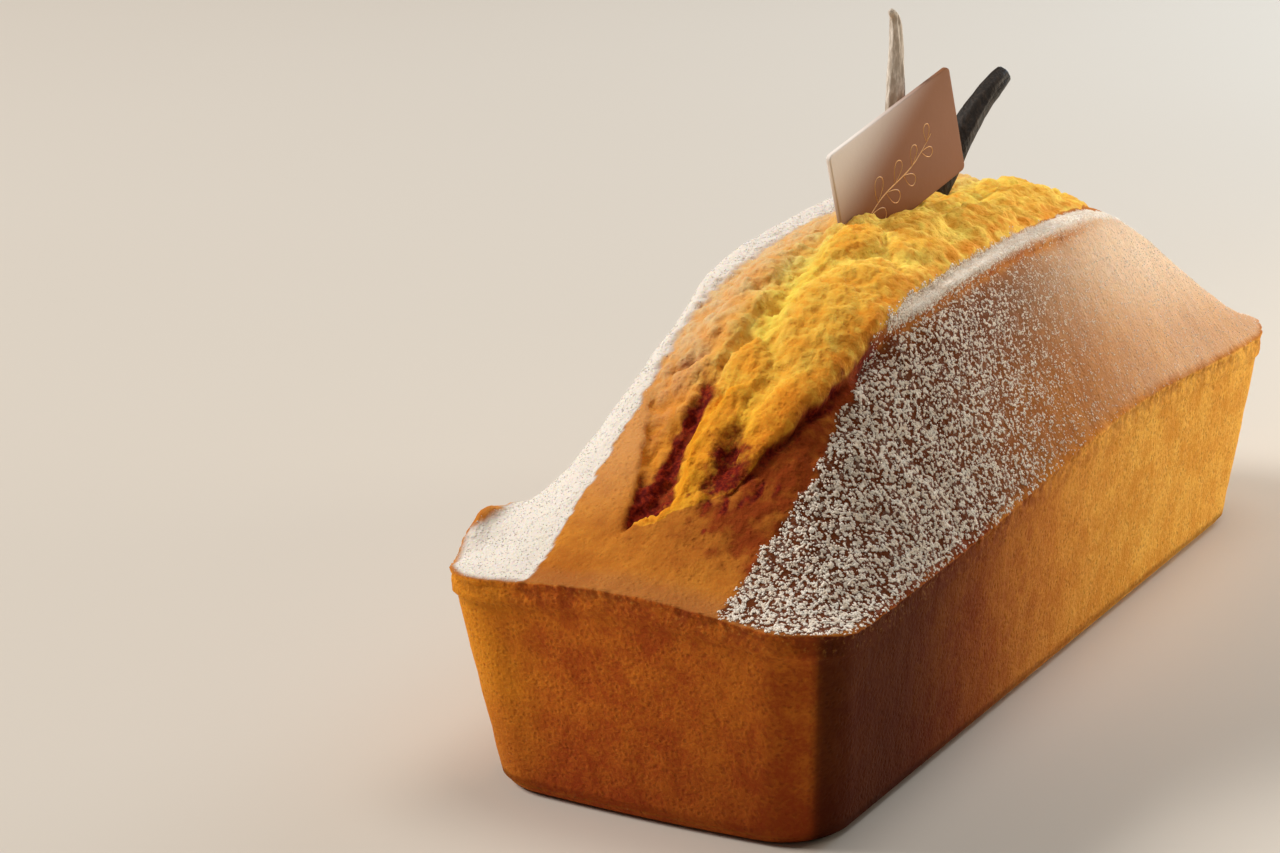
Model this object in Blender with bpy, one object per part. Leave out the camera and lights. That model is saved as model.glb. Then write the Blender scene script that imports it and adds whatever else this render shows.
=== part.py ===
"""Loaf cake from a long tin: a steep dome over straight walls, its crest burst open
along the middle, with a thin rectangular plaque and two vanilla pods stuck in it.

Metres, +Z up. X runs across the loaf and Y along it, and the end at -Y is the front.
The origin is on the surface that the loaf stands on, under the middle of its rim.
"""

import math

import bpy
import numpy as np
from mathutils import Matrix, Vector, noise

# Loaf: the tin's shape, from the flat base to the rim of the crust
RIM_LENGTH = 0.243
RIM_WIDTH = 0.090
RIM_CORNER = 0.0138
BASE_LENGTH = 0.2264
BASE_WIDTH = 0.0786
BASE_CORNER = 0.0135
BASE_END_BULGE = 0.0020
BASE_FILLET = 0.0025
RIM_OVERHANG = 0.0006
RIM_THICKNESS = 0.0014
WALL_UNEVENNESS = 0.0005
WALL_UNEVENNESS_SIZE = 0.026

# Rim: its height along the sides and the ends, and its swells as (height, middle, spread)
SIDE_RIM_HEIGHT = 0.0457
SIDE_RIM_SWELL = (0.0060, 0.025, 0.060)
FRONT_UPTURN = (0.0022, -0.1215, 0.010)
BACK_UPTURN = (0.0010, 0.1215, 0.0045)
END_RIM_HEIGHT = 0.0482
END_RIM_SWELL = (0.0026, 0.0, 0.025)

# Dome: the crest above the end rim, how it rises from each end as (distance, power), its
# fall towards the shoulders, and the higher left shoulder
CREST_RISE = 0.0444
CREST_FROM_FRONT = (0.0463, 1.68)
CREST_FROM_BACK = (0.0372, 1.64)
SHOULDER_X = 0.022
SHOULDER_FALL = 0.0032
LEFT_SHOULDER = (0.0056, -0.027, 0.0103)

# Flanks: slope at the rim, its growth away from each end, its extra mid-length and on the
# left, and how softly the crest turns into them
FLANK_SLOPE = 0.17
FLANK_GROWTH = 1.71
FLANK_FROM_FRONT = (0.0422, 1.57)
FLANK_FROM_BACK = (0.0423, 0.80)
FLANK_EXTRA = 0.38
FLANK_EXTRA_Y = (-0.060, -0.030)
LEFT_FLANK_GAIN = 0.10
LEFT_FLANK_X = (0.010, 0.025)
SHOULDER_BLEND = 0.0010
SHOULDER_BLEND_SWELL = (0.0035, 0.035, 0.025)

# Flap of crust that stands up from the left rim near the front: where it starts, is full,
# thins and ends along Y, and its height, with the spread of its edge and of its foot
FLAP_Y = (-0.112, -0.101, -0.093, -0.077)
FLAP_THINNING = 0.3
FLAP_INSET = 0.0016
FLAP_EDGE = (0.0040, 0.0024)
FLAP_FOOT = (0.0044, 0.0085)

# Burst: where it fades out at the front and the back, its left and right edges, how far it
# lifts, the share of that lift at its edges, and the step at its right lip
BURST_FRONT_Y = (-0.108, -0.100)
BURST_BACK_Y = (0.090, 0.101)
BURST_LEFT = (
    (-0.105, -0.0083), (-0.099, -0.0092), (-0.096, -0.0100), (-0.092, -0.0111), (-0.087, -0.0128),
    (-0.083, -0.0146), (-0.076, -0.0176), (-0.069, -0.0200), (-0.055, -0.0209), (-0.020, -0.0212),
    (0.040, -0.0200), (0.072, -0.0155), (0.090, -0.0070), (0.100, 0.0000),
)
BURST_RIGHT = (
    (-0.106, -0.0055), (-0.102, 0.0000), (-0.098, 0.0050), (-0.094, 0.0105), (-0.088, 0.0130),
    (-0.079, 0.0163), (-0.070, 0.0192), (-0.062, 0.0208), (-0.050, 0.0218), (0.000, 0.0218),
    (0.052, 0.0206), (0.070, 0.0160), (0.088, 0.0090), (0.100, 0.0010),
)
BURST_LIFT = (
    (-0.108, 0.0), (-0.100, 0.0003), (-0.090, 0.0012), (-0.080, 0.0030), (-0.055, 0.0052),
    (-0.020, 0.0060), (0.010, 0.0040), (0.035, 0.0020), (0.062, 0.0018), (0.080, 0.0020),
    (0.102, 0.0),
)
BURST_EDGE_LIFT = 0.45
BURST_LEFT_SHARE = 0.25
LIP_STEP = (
    (-0.106, 0.0), (-0.098, 0.0002), (-0.092, 0.0020), (-0.075, 0.0028), (-0.060, 0.0024),
    (-0.045, 0.0014), (0.055, 0.0010), (0.090, 0.0),
)
LIP_SHARE = (0.55, 0.95)
LIP_WIDTH = 0.0005

# Lumps of crumb in the burst: centre, half length, half width, heading of the length from
# +Y towards +X in degrees, and height
LUMPS = (
    ((0.0140, -0.0520), 0.0235, 0.0112, 10, 0.0021),
    ((0.0160, -0.0790), 0.0215, 0.0062, 17, 0.0017),
    ((0.0026, -0.0860), 0.0130, 0.0036, 13, 0.0020),
    ((0.0025, -0.0712), 0.0060, 0.0054, 0, 0.0022),
    ((-0.0048, -0.0797), 0.0040, 0.0047, 20, 0.0019),
    ((-0.0115, -0.0770), 0.0070, 0.0046, 15, 0.0017),
    ((-0.0070, -0.0620), 0.0110, 0.0052, 5, 0.0020),
    ((-0.0158, -0.0640), 0.0120, 0.0050, 8, 0.0015),
    ((-0.0105, -0.0420), 0.0120, 0.0056, 5, 0.0019),
    ((0.0035, -0.0270), 0.0100, 0.0056, 8, 0.0021),
    ((0.0145, -0.0170), 0.0085, 0.0058, 15, 0.0017),
    ((0.0085, -0.0060), 0.0100, 0.0056, -5, 0.0019),
    ((-0.0065, -0.0120), 0.0115, 0.0060, -8, 0.0019),
    ((-0.0165, -0.0120), 0.0180, 0.0056, 0, 0.0014),
    ((0.0150, 0.0130), 0.0120, 0.0058, 0, 0.0018),
    ((0.0030, 0.0200), 0.0120, 0.0070, 10, 0.0016),
    ((0.0100, 0.0420), 0.0170, 0.0090, -4, 0.0018),
    ((-0.0095, 0.0400), 0.0200, 0.0070, 0, 0.0017),
    ((0.0020, 0.0700), 0.0150, 0.0090, -8, 0.0015),
)
LUMP_POWER = 0.45
LUMP_SINK = 0.0013
LUMP_WARP = 0.0014
LUMP_WARP_SIZE = 0.0065
LUMP_WARP_LAYERS = (0.5, 7.5)
CRUMB_SIZE = 0.0055
CRUMB_HEIGHT = 0.0010
CRUMB_RADIUS = 0.7
CRUMB_LAYER = 0.5
CRUMB_MIDDLE = 0.5
CRUMB_Y = (-0.100, -0.080)

# Hollow at the front of the burst, from its left edge to the torn ridge
RIDGE_X = (
    (-0.1050, -0.0070), (-0.1031, -0.0049), (-0.1022, -0.0016), (-0.0986, 0.0003), (-0.0964, 0.0006),
    (-0.0908, -0.0009), (-0.0852, -0.0022), (-0.0803, 0.0010), (-0.0754, 0.0070),
)
HOLLOW_DEPTH = (
    (-0.1056, 0.0), (-0.1020, 0.0022), (-0.0950, 0.0030), (-0.0860, 0.0028), (-0.0790, 0.0016),
    (-0.0740, 0.0),
)
HOLLOW_LEFT_SHARE = 0.7
HOLLOW_EDGE = 0.0004

# Clefts and ridges in the burst: depth (or height below zero), half width, route in X and Y
CREVICE = (0.0024, 0.0017, ((-0.0079, -0.1050), (-0.0076, -0.1015), (-0.0052, -0.0970), (-0.0046, -0.0920),
                            (-0.0056, -0.0870), (-0.0050, -0.0820), (-0.0034, -0.0785)))
TORN_RIDGE = (-0.0014, 0.0010, tuple((x, y) for y, x in RIDGE_X))
DARK_CLEFT = (0.0032, 0.0026, ((0.0036, -0.0950), (0.0062, -0.0938), (0.0080, -0.0920), (0.0072, -0.0885),
                               (0.0068, -0.0858), (0.0084, -0.0840)))
VALLEY = (0.0020, 0.0024, ((0.0096, -0.0720), (0.0062, -0.0680), (0.0030, -0.0640), (0.0022, -0.0590),
                           (0.0002, -0.0520), (-0.0010, -0.0430), (-0.0040, -0.0290), (-0.0110, -0.0080)))
LUMP_CLEFT = (0.0012, 0.0014, ((-0.0048, -0.0770), (-0.0032, -0.0735), (-0.0026, -0.0690), (0.0004, -0.0650)))
LEFT_DENT = (0.0018, 0.0017, ((-0.0150, -0.0720), (-0.0100, -0.0695), (-0.0060, -0.0690)))
RIGHT_FOLD = (0.0009, 0.0014, ((0.0020, -0.0370), (0.0070, -0.0330), (0.0113, -0.0275), (0.0172, -0.0260)))
BACK_VALLEY = (0.0016, 0.0026, ((0.0060, 0.0080), (0.0080, 0.0180), (0.0050, 0.0400), (0.0070, 0.0620),
                                (0.0030, 0.0860)))
POD_DENT = (0.0016, 0.0030, ((0.0050, 0.0110), (0.0015, 0.0200), (-0.0005, 0.0290)))
FURROWS = (CREVICE, TORN_RIDGE, DARK_CLEFT, VALLEY, LUMP_CLEFT, LEFT_DENT, RIGHT_FOLD, BACK_VALLEY,
           POD_DENT)
FURROW_END = 0.04
FURROW_NARROWING = 0.5

# Ledge of crust on the right of the burst: where it drops off, how far, how steeply, how soon
# the crust is back at its own shape on each side, and the share of the drop that is above it
LEDGE_X = (
    (-0.0620, 0.0204), (-0.0550, 0.0218), (-0.0310, 0.0246), (0.0000, 0.0254), (0.0300, 0.0258),
    (0.0700, 0.0240),
)
LEDGE_DROP = ((-0.0640, 0.0), (-0.0520, 0.0018), (-0.0300, 0.0022), (0.0200, 0.0020), (0.0700, 0.0))
LEDGE_EDGE = 0.0004
LEDGE_FADE = (0.0045, 0.0075)
LEDGE_ABOVE = 0.7

# Plaque: a thin rectangle with rounded corners, its lower front corner in the cake
PLAQUE_LENGTH = 0.0455
PLAQUE_HEIGHT = 0.0252
PLAQUE_THICKNESS = 0.0012
PLAQUE_CORNER = 0.0013
PLAQUE_EDGE = 0.0002
PLAQUE_CENTRE = (0.0002, 0.0014, 0.1088)
PLAQUE_YAW = math.radians(9.7)
PLAQUE_PITCH = math.radians(14.9)

# Vanilla pods: stations of centre, width and thickness, from the buried end to the tip
DARK_POD = (
    ((-0.0056, 0.0182, 0.0868), 0.0052, 0.0038),
    ((-0.0030, 0.0264, 0.0955), 0.0056, 0.0038),
    ((0.0000, 0.0338, 0.1070), 0.0058, 0.0036),
    ((0.0020, 0.0405, 0.1140), 0.0052, 0.0033),
    ((0.0034, 0.0456, 0.1180), 0.0045, 0.0030),
    ((0.0042, 0.0496, 0.1198), 0.0036, 0.0024),
)
PALE_POD = (
    ((-0.0040, 0.0080, 0.0850), 0.0046, 0.0036),
    ((-0.0040, 0.0088, 0.1000), 0.0048, 0.0038),
    ((-0.0040, 0.0094, 0.1200), 0.0042, 0.0034),
    ((-0.0040, 0.0097, 0.1320), 0.0031, 0.0027),
    ((-0.0040, 0.0092, 0.1385), 0.0023, 0.0021),
    ((-0.0042, 0.0070, 0.1408), 0.0013, 0.0012),
)
POD_SIDES = 12
POD_RINGS = 22
POD_WRINKLES = 5
POD_WRINKLE_DEPTH = 0.05
POD_WRINKLE_TWIST = 5.0
POD_END_WIDTH = 0.12
POD_END_GROWTH = 6.0
POD_LOOK_AHEAD = 0.01
POD_FACING = (0.48, -0.82, 0.31)

# Mesh of the loaf: columns across, rows along, and the room left round what is stuck in it
CLEARANCE = 0.0003
BURST_HALF_WIDTH = 0.028
BURST_COLUMNS = 28
FLANK_COLUMNS = 1
ROWS = 74
CORNER_STEPS = (0.35, 0.68, 0.88, 1.0)
FILLET_STEPS = 3
WALL_STEPS = 3
PLAQUE_CORNER_STEPS = 4
CREASE_ANGLE = math.radians(40)
POD_CREASE_ANGLE = math.radians(70)

# Colours (linear) and roughness of the CAD model's materials
CRUST_LOOK = ((0.43, 0.17, 0.035), 0.72)
CHOCOLATE_LOOK = ((0.20, 0.085, 0.05), 0.35)
DARK_POD_LOOK = ((0.018, 0.011, 0.008), 0.42)
PALE_POD_LOOK = ((0.30, 0.24, 0.18), 0.60)

HALF_LENGTH = RIM_LENGTH / 2
HALF_WIDTH = RIM_WIDTH / 2


def clear_scene():
    for obj in list(bpy.data.objects):
        bpy.data.objects.remove(obj, do_unlink=True)


def material(name, colour, roughness):
    made = bpy.data.materials.new(name)
    made.use_nodes = True
    shader = made.node_tree.nodes["Principled BSDF"]
    shader.inputs["Base Color"].default_value = (*colour, 1.0)
    shader.inputs["Roughness"].default_value = roughness
    shader.inputs["Metallic"].default_value = 0.0
    return made


def mesh_object(name, points, faces, finish, crease=CREASE_ANGLE):
    mesh = bpy.data.meshes.new(name)
    mesh.from_pydata([tuple(point) for point in points], [], faces)
    mesh.shade_smooth()
    mesh.set_sharp_from_angle(angle=crease)
    mesh.materials.append(finish)
    obj = bpy.data.objects.new(name, mesh)
    bpy.context.scene.collection.objects.link(obj)
    return obj


def rise(distance, scale, power):
    """Goes from 0 at an edge to 1 well inside it."""
    return 1.0 - np.exp(-((np.maximum(distance, 0.0) / scale) ** power))


def hump(value, middle, spread):
    return np.exp(-(((value - middle) / spread) ** 2))


def swell(value, size):
    height, middle, spread = size
    return height * hump(value, middle, spread)


def ease(value, start, end):
    share = np.clip((value - start) / (end - start), 0.0, 1.0)
    return share * share * (3.0 - 2.0 * share)


def stations(y, table):
    """Value at y of a smooth course through a table of (y, value) stations."""
    places, values = np.array(table).T
    index = np.clip(np.searchsorted(places, y) - 1, 0, len(places) - 2)
    return values[index] + (values[index + 1] - values[index]) * ease(y, places[index], places[index + 1])


def crust_height(x, y):
    """Height of the whole crust, as it would be without the burst."""
    from_front = HALF_LENGTH + y
    from_back = HALF_LENGTH - y
    side_rim = SIDE_RIM_HEIGHT + swell(y, SIDE_RIM_SWELL) + swell(y, FRONT_UPTURN) + swell(y, BACK_UPTURN)
    end_rim = END_RIM_HEIGHT + swell(x, END_RIM_SWELL)
    level = rise(from_front, *CREST_FROM_FRONT) * rise(from_back, *CREST_FROM_BACK)
    crest = CREST_RISE - SHOULDER_FALL * (x / SHOULDER_X) ** 2 + swell(x, LEFT_SHOULDER)
    top = end_rim + level * crest
    growth = FLANK_GROWTH * rise(from_front, *FLANK_FROM_FRONT) + FLANK_EXTRA * ease(y, *FLANK_EXTRA_Y)
    slope = FLANK_SLOPE + growth * rise(from_back, *FLANK_FROM_BACK)
    slope = slope * (1.0 + LEFT_FLANK_GAIN * ease(-x, *LEFT_FLANK_X))
    flank = side_rim + slope * (HALF_WIDTH - np.abs(x))
    blend = SHOULDER_BLEND + swell(from_front, SHOULDER_BLEND_SWELL)
    lower = np.minimum(top, flank)
    return lower - blend * np.log(np.exp((lower - top) / blend) + np.exp((lower - flank) / blend))


def flap_height(x, y):
    """Flap of crust on the left rim: steep at its front end, thin towards the back."""
    start, full, fade, end = FLAP_Y
    along = ease(y, start, full) * (1.0 - FLAP_THINNING * ease(y, full, fade)) * (1.0 - ease(y, fade, end))
    middle = FLAP_INSET - HALF_WIDTH
    edge = FLAP_EDGE[0] * hump(x, middle, FLAP_EDGE[1])
    foot = FLAP_FOOT[0] * hump(x, middle, FLAP_FOOT[1])
    return along * (edge + foot)


def step_up(distance, width):
    """Goes from 0 to 1 across an edge of about this width."""
    return 1.0 / (1.0 + np.exp(-np.clip(distance / width, -40.0, 40.0)))


def ledge_height(x, y):
    """Raised at the ledge's edge and cut back just past it."""
    past = x - stations(y, LEDGE_X)
    raised = np.exp(-np.maximum(-past, 0.0) / LEDGE_FADE[0]) * step_up(-past, LEDGE_EDGE)
    lowered = np.exp(-np.maximum(past, 0.0) / LEDGE_FADE[1]) * step_up(past, LEDGE_EDGE)
    return stations(y, LEDGE_DROP) * (LEDGE_ABOVE * raised - (1.0 - LEDGE_ABOVE) * lowered)


def noise_field(x, y, size, layer):
    """Smooth noise between -1 and 1, with features of a size."""
    flat = zip(np.ravel(x) / size, np.ravel(y) / size)
    return np.reshape(np.array([noise.noise(Vector((a, b, layer))) for a, b in flat]), np.shape(x))


def furrow_share(x, y, half_width, route):
    """Share of a cleft's depth at each place, shallower and narrower at both of its ends."""
    points = np.array(route)
    steps = np.linalg.norm(np.diff(points, axis=0), axis=1)
    passed = np.concatenate(([0.0], np.cumsum(steps)))
    best = np.full(np.shape(x), np.inf)
    share = np.zeros(np.shape(x))
    for start, end, step, before in zip(points[:-1], points[1:], steps, passed):
        along = ((x - start[0]) * (end[0] - start[0]) + (y - start[1]) * (end[1] - start[1])) / step**2
        along = np.clip(along, 0.0, 1.0)
        gap = np.hypot(x - start[0] - along * (end[0] - start[0]), y - start[1] - along * (end[1] - start[1]))
        nearer = gap < best
        best = np.where(nearer, gap, best)
        share = np.where(nearer, (before + along * step) / passed[-1], share)
    share = FURROW_END + (1.0 - 2.0 * FURROW_END) * share
    fullness = np.sqrt(np.clip(np.sin(math.pi * share), 0.0, 1.0))
    width = half_width * (1.0 - FURROW_NARROWING * (1.0 - fullness))
    return fullness * np.exp(-((best / width) ** 2))


def lump_height(x, y):
    """Height of the highest lump at each place, with outlines that noise shifts."""
    shifted_x = x + LUMP_WARP * noise_field(x, y, LUMP_WARP_SIZE, LUMP_WARP_LAYERS[0])
    shifted_y = y + LUMP_WARP * noise_field(x, y, LUMP_WARP_SIZE, LUMP_WARP_LAYERS[1])
    highest = np.zeros(np.shape(x))
    for centre, half_length, half_width, heading, height in LUMPS:
        turn = math.radians(heading)
        gap_x, gap_y = shifted_x - centre[0], shifted_y - centre[1]
        along = (gap_x * math.sin(turn) + gap_y * math.cos(turn)) / half_length
        across = (gap_x * math.cos(turn) - gap_y * math.sin(turn)) / half_width
        reach = np.clip(1.0 - along**2 - across**2, 0.0, 1.0)
        highest = np.maximum(highest, height * reach**LUMP_POWER)
    return highest


def crumb_tops(x, y, size):
    """Rounded crumbs, from 0 in the gaps between them to 1 on their tops."""
    flat = zip(np.ravel(x) / size, np.ravel(y) / size)
    gaps = np.array([noise.voronoi(Vector((a, b, CRUMB_LAYER)))[0][0] for a, b in flat])
    return np.reshape(1.0 - np.minimum(gaps / CRUMB_RADIUS, 1.0) ** 2, np.shape(x))


def hollow_depth(x, y):
    """Depth of the hollow, which drops at the crust's torn edge and is deepest at the ridge."""
    left, ridge = stations(y, BURST_LEFT), stations(y, RIDGE_X)
    across = np.clip((x - left) / (ridge - left), 0.0, 1.0)
    within = step_up(x - left, HOLLOW_EDGE) * step_up(ridge - x, HOLLOW_EDGE)
    return stations(y, HOLLOW_DEPTH) * within * (HOLLOW_LEFT_SHARE + (1.0 - HOLLOW_LEFT_SHARE) * across)


def burst_inside(x, y):
    """How far inside the burst each place is, from 0 to 1, and its share of the way across."""
    left, right = stations(y, BURST_LEFT), stations(y, BURST_RIGHT)
    across = (x - left) / (right - left)
    inside = ease(across, 0.0, BURST_LEFT_SHARE) * step_up(right - x, LIP_WIDTH)
    return inside * ease(y, *BURST_FRONT_Y) * (1.0 - ease(y, *BURST_BACK_Y)), across


def burst_height(x, y):
    """How far the burst crumb stands above the crust, or below it in the clefts."""
    inside, across = burst_inside(x, y)
    arch = np.sin(math.pi * np.clip(across, 0.0, 1.0))
    crown = stations(y, BURST_LIFT) * (BURST_EDGE_LIFT + (1.0 - BURST_EDGE_LIFT) * arch)
    lip = stations(y, LIP_STEP) * ease(across, *LIP_SHARE)
    crumb = CRUMB_HEIGHT * (crumb_tops(x, y, CRUMB_SIZE) - CRUMB_MIDDLE)
    torn = (lump_height(x, y) - LUMP_SINK + crumb) * ease(y, *CRUMB_Y)
    height = inside * (crown + lip + torn) - hollow_depth(x, y)
    for depth, half_width, route in FURROWS:
        height = height - depth * furrow_share(x, y, half_width, route)
    return height


def surface_height(x, y):
    return crust_height(x, y) + flap_height(x, y) + ledge_height(x, y) + burst_height(x, y)


def grid_lines(inner_shares):
    """Grid lines across one direction: (share of the straight part, share of the corner)."""
    corner = [(1.0, step) for step in CORNER_STEPS]
    before = [(-1.0, -step) for _, step in reversed(corner)]
    return before + [(share, 0.0) for share in inner_shares] + corner


def plan_point(column, row, half_width, half_length, corner):
    """Place of a grid crossing on a rectangle with rounded corners."""
    u, v = column[1], row[1]
    x = column[0] * (half_width - corner) + corner * u * math.sqrt(1.0 - v * v / 2.0)
    y = row[0] * (half_length - corner) + corner * v * math.sqrt(1.0 - u * u / 2.0)
    return x, y


def foot_point(column, row):
    """Place on the base's outline, whose ends bulge a little in the middle."""
    x, y = plan_point(column, row, BASE_WIDTH / 2, BASE_LENGTH / 2, BASE_CORNER)
    bulge = BASE_END_BULGE * (1.0 - (2.0 * x / BASE_WIDTH) ** 2)
    return x, y + bulge * row[1] * abs(row[1])


def loaf_columns():
    straight = HALF_WIDTH - RIM_CORNER
    flank = np.linspace(straight, BURST_HALF_WIDTH, FLANK_COLUMNS + 1)[:-1]
    middle = np.linspace(-BURST_HALF_WIDTH, BURST_HALF_WIDTH, BURST_COLUMNS + 1)
    return grid_lines(np.concatenate((-flank, middle, flank[::-1])) / straight)


def boundary(columns, rows):
    """The grid's crossings on its outer edge, as (column, row) numbers, once round."""
    last_column, last_row = len(columns) - 1, len(rows) - 1
    front = [(i, 0) for i in range(last_column)]
    right = [(last_column, j) for j in range(last_row)]
    back = [(i, last_row) for i in range(last_column, 0, -1)]
    left = [(0, j) for j in range(last_row, 0, -1)]
    return front + right + back + left


def wall_rings():
    """Rings down the wall: share of the way up to the rim, height in the fillet, and inset."""
    rings = [(1.0, -RIM_THICKNESS, 0.0), (1.0, -2.0 * RIM_THICKNESS, RIM_OVERHANG)]
    for step in range(WALL_STEPS, 0, -1):
        rings.append((step / (WALL_STEPS + 1), 0.0, RIM_OVERHANG))
    for step in range(FILLET_STEPS + 1):
        turn = math.pi / 2 * step / FILLET_STEPS
        rings.append((0.0, BASE_FILLET * (1.0 - math.sin(turn)), BASE_FILLET * (1.0 - math.cos(turn))))
    return rings


def outward(column, row):
    """Direction straight out of the wall at a grid crossing on the outer edge."""
    u, v = plan_point((0.0, column[1]), (0.0, row[1]), 1.0, 1.0, 1.0)
    return Vector((u, v, 0.0)).normalized()


def wall_bulge(x, y, z):
    """Slight unevenness of the baked walls."""
    return WALL_UNEVENNESS * noise.noise(Vector((x, y, z)) / WALL_UNEVENNESS_SIZE)


def make_loaf(finish):
    columns = loaf_columns()
    rows = grid_lines(np.linspace(-1.0, 1.0, ROWS + 1))
    plan = [[plan_point(c, r, HALF_WIDTH, HALF_LENGTH, RIM_CORNER) for r in rows] for c in columns]
    x, y = np.moveaxis(np.array(plan), -1, 0)
    z = surface_height(x, y)
    points = list(zip(x.ravel(), y.ravel(), z.ravel()))
    faces = []
    for i in range(len(columns) - 1):
        for j in range(len(rows) - 1):
            corner = i * len(rows) + j
            faces.append((corner, corner + len(rows), corner + len(rows) + 1, corner + 1))
    edge = boundary(columns, rows)
    above = [i * len(rows) + j for i, j in edge]
    for share, raised, inset in wall_rings():
        ring = []
        for i, j in edge:
            top_x, top_y = x[i, j], y[i, j]
            foot_x, foot_y = foot_point(columns[i], rows[j])
            height = raised + share * z[i, j]
            place = Vector((foot_x + (top_x - foot_x) * share, foot_y + (top_y - foot_y) * share, height))
            bulge = wall_bulge(*place) if 0.0 < share < 1.0 else 0.0
            ring.append(len(points))
            points.append(place + outward(columns[i], rows[j]) * (bulge - inset))
        for k in range(len(edge)):
            following = (k + 1) % len(edge)
            faces.append((above[k], ring[k], ring[following], above[following]))
        above = ring
    faces.append(tuple(reversed(above)))
    return mesh_object("cake_loaf", points, faces, finish)


def plaque_outline(grow):
    """Rounded rectangle in the plaque's own plane: X along it and Z up."""
    radius = PLAQUE_CORNER + grow
    outline = []
    for quarter in range(4):
        centre_x = (PLAQUE_LENGTH / 2 - PLAQUE_CORNER) * (1 if quarter in (0, 3) else -1)
        centre_z = (PLAQUE_HEIGHT / 2 - PLAQUE_CORNER) * (1 if quarter in (0, 1) else -1)
        for step in range(PLAQUE_CORNER_STEPS + 1):
            turn = math.pi / 2 * (quarter + step / PLAQUE_CORNER_STEPS)
            outline.append((centre_x + radius * math.cos(turn), centre_z + radius * math.sin(turn)))
    return outline


def make_plaque(name, finish, grow=0.0):
    outline = plaque_outline(grow)
    half = PLAQUE_THICKNESS / 2 + grow
    points = [(a, -half, b) for a, b in outline] + [(a, half, b) for a, b in outline]
    count = len(outline)
    faces = [tuple(range(count)), tuple(range(2 * count - 1, count - 1, -1))]
    faces += [(k, k + count, (k + 1) % count + count, (k + 1) % count) for k in range(count)]
    plaque = mesh_object(name, points, faces, finish)
    along = Matrix.Rotation(math.pi / 2 - PLAQUE_YAW, 4, "Z")
    tilt = Matrix.Rotation(-PLAQUE_PITCH, 4, "Y")
    plaque.matrix_world = Matrix.Translation(PLAQUE_CENTRE) @ along @ tilt
    if not grow:
        bevel = plaque.modifiers.new("soft edge", "BEVEL")
        bevel.width = PLAQUE_EDGE
        bevel.segments = 1
        bevel.limit_method = "ANGLE"
    return plaque


def spline(values, share):
    """Catmull-Rom course through evenly numbered values, at a share of the way along."""
    place = share * (len(values) - 1)
    start = min(int(place), len(values) - 2)
    t = place - start
    before = values[max(start - 1, 0)]
    a, b = values[start], values[start + 1]
    after = values[min(start + 2, len(values) - 1)]
    bend = (2.0 * before - 5.0 * a + 4.0 * b - after) * t * t + (3.0 * (a - b) + after - before) * t**3
    return a + 0.5 * ((b - before) * t + bend)


def make_pod(name, table, finish, grow=0.0):
    """Flattened, shrivelled pod along a curve, closed by a point at each end."""
    centres = [np.array(centre) for centre, _, _ in table]
    widths = [width for _, width, _ in table]
    depths = [depth for _, _, depth in table]
    facing = np.array(POD_FACING)
    points = []
    for ring in range(POD_RINGS + 1):
        share = ring / POD_RINGS
        centre = spline(centres, share)
        behind, beyond = max(share - POD_LOOK_AHEAD, 0.0), min(share + POD_LOOK_AHEAD, 1.0)
        ahead = spline(centres, beyond) - spline(centres, behind)
        ahead = ahead / np.linalg.norm(ahead)
        side = np.cross(ahead, facing)
        side = side / np.linalg.norm(side)
        across = np.cross(ahead, side)
        closing = math.sqrt(min(1.0, POD_END_WIDTH + POD_END_GROWTH * min(share, 1.0 - share)))
        for step in range(POD_SIDES):
            turn = 2.0 * math.pi * step / POD_SIDES
            wrinkle = 1.0 + POD_WRINKLE_DEPTH * math.sin(POD_WRINKLES * turn + POD_WRINKLE_TWIST * share)
            half_width = closing * wrinkle * spline(widths, share) / 2 + grow
            half_depth = closing * wrinkle * spline(depths, share) / 2 + grow
            points.append(centre + side * half_width * math.cos(turn) + across * half_depth * math.sin(turn))
    faces = []
    for ring in range(POD_RINGS):
        for step in range(POD_SIDES):
            a = ring * POD_SIDES + step
            b = ring * POD_SIDES + (step + 1) % POD_SIDES
            faces.append((a, b, b + POD_SIDES, a + POD_SIDES))
    last = POD_RINGS * POD_SIDES
    faces.append(tuple(reversed(range(POD_SIDES))))
    faces.append(tuple(range(last, last + POD_SIDES)))
    return mesh_object(name, points, faces, finish, POD_CREASE_ANGLE)


def cut(target, cutter):
    """Cuts the room for one thing out of the loaf."""
    cutter.hide_render = True
    cutter.display_type = "WIRE"
    room = target.modifiers.new(cutter.name, "BOOLEAN")
    room.operation = "DIFFERENCE"
    room.solver = "EXACT"
    room.object = cutter


def main():
    clear_scene()
    crust = material("baked_crust", *CRUST_LOOK)
    chocolate = material("plaque_chocolate", *CHOCOLATE_LOOK)
    dark = material("vanilla_dark", *DARK_POD_LOOK)
    pale = material("vanilla_pale", *PALE_POD_LOOK)
    loaf = make_loaf(crust)
    make_plaque("plaque", chocolate)
    make_pod("vanilla_pod_dark", DARK_POD, dark)
    make_pod("vanilla_pod_pale", PALE_POD, pale)
    cut(loaf, make_plaque("plaque_slot", crust, CLEARANCE))
    cut(loaf, make_pod("dark_pod_hole", DARK_POD, crust, CLEARANCE))
    cut(loaf, make_pod("pale_pod_hole", PALE_POD, crust, CLEARANCE))


main()
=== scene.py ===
"""Pound cake loaf: the looks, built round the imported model. Metres, +Z up."""

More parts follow.
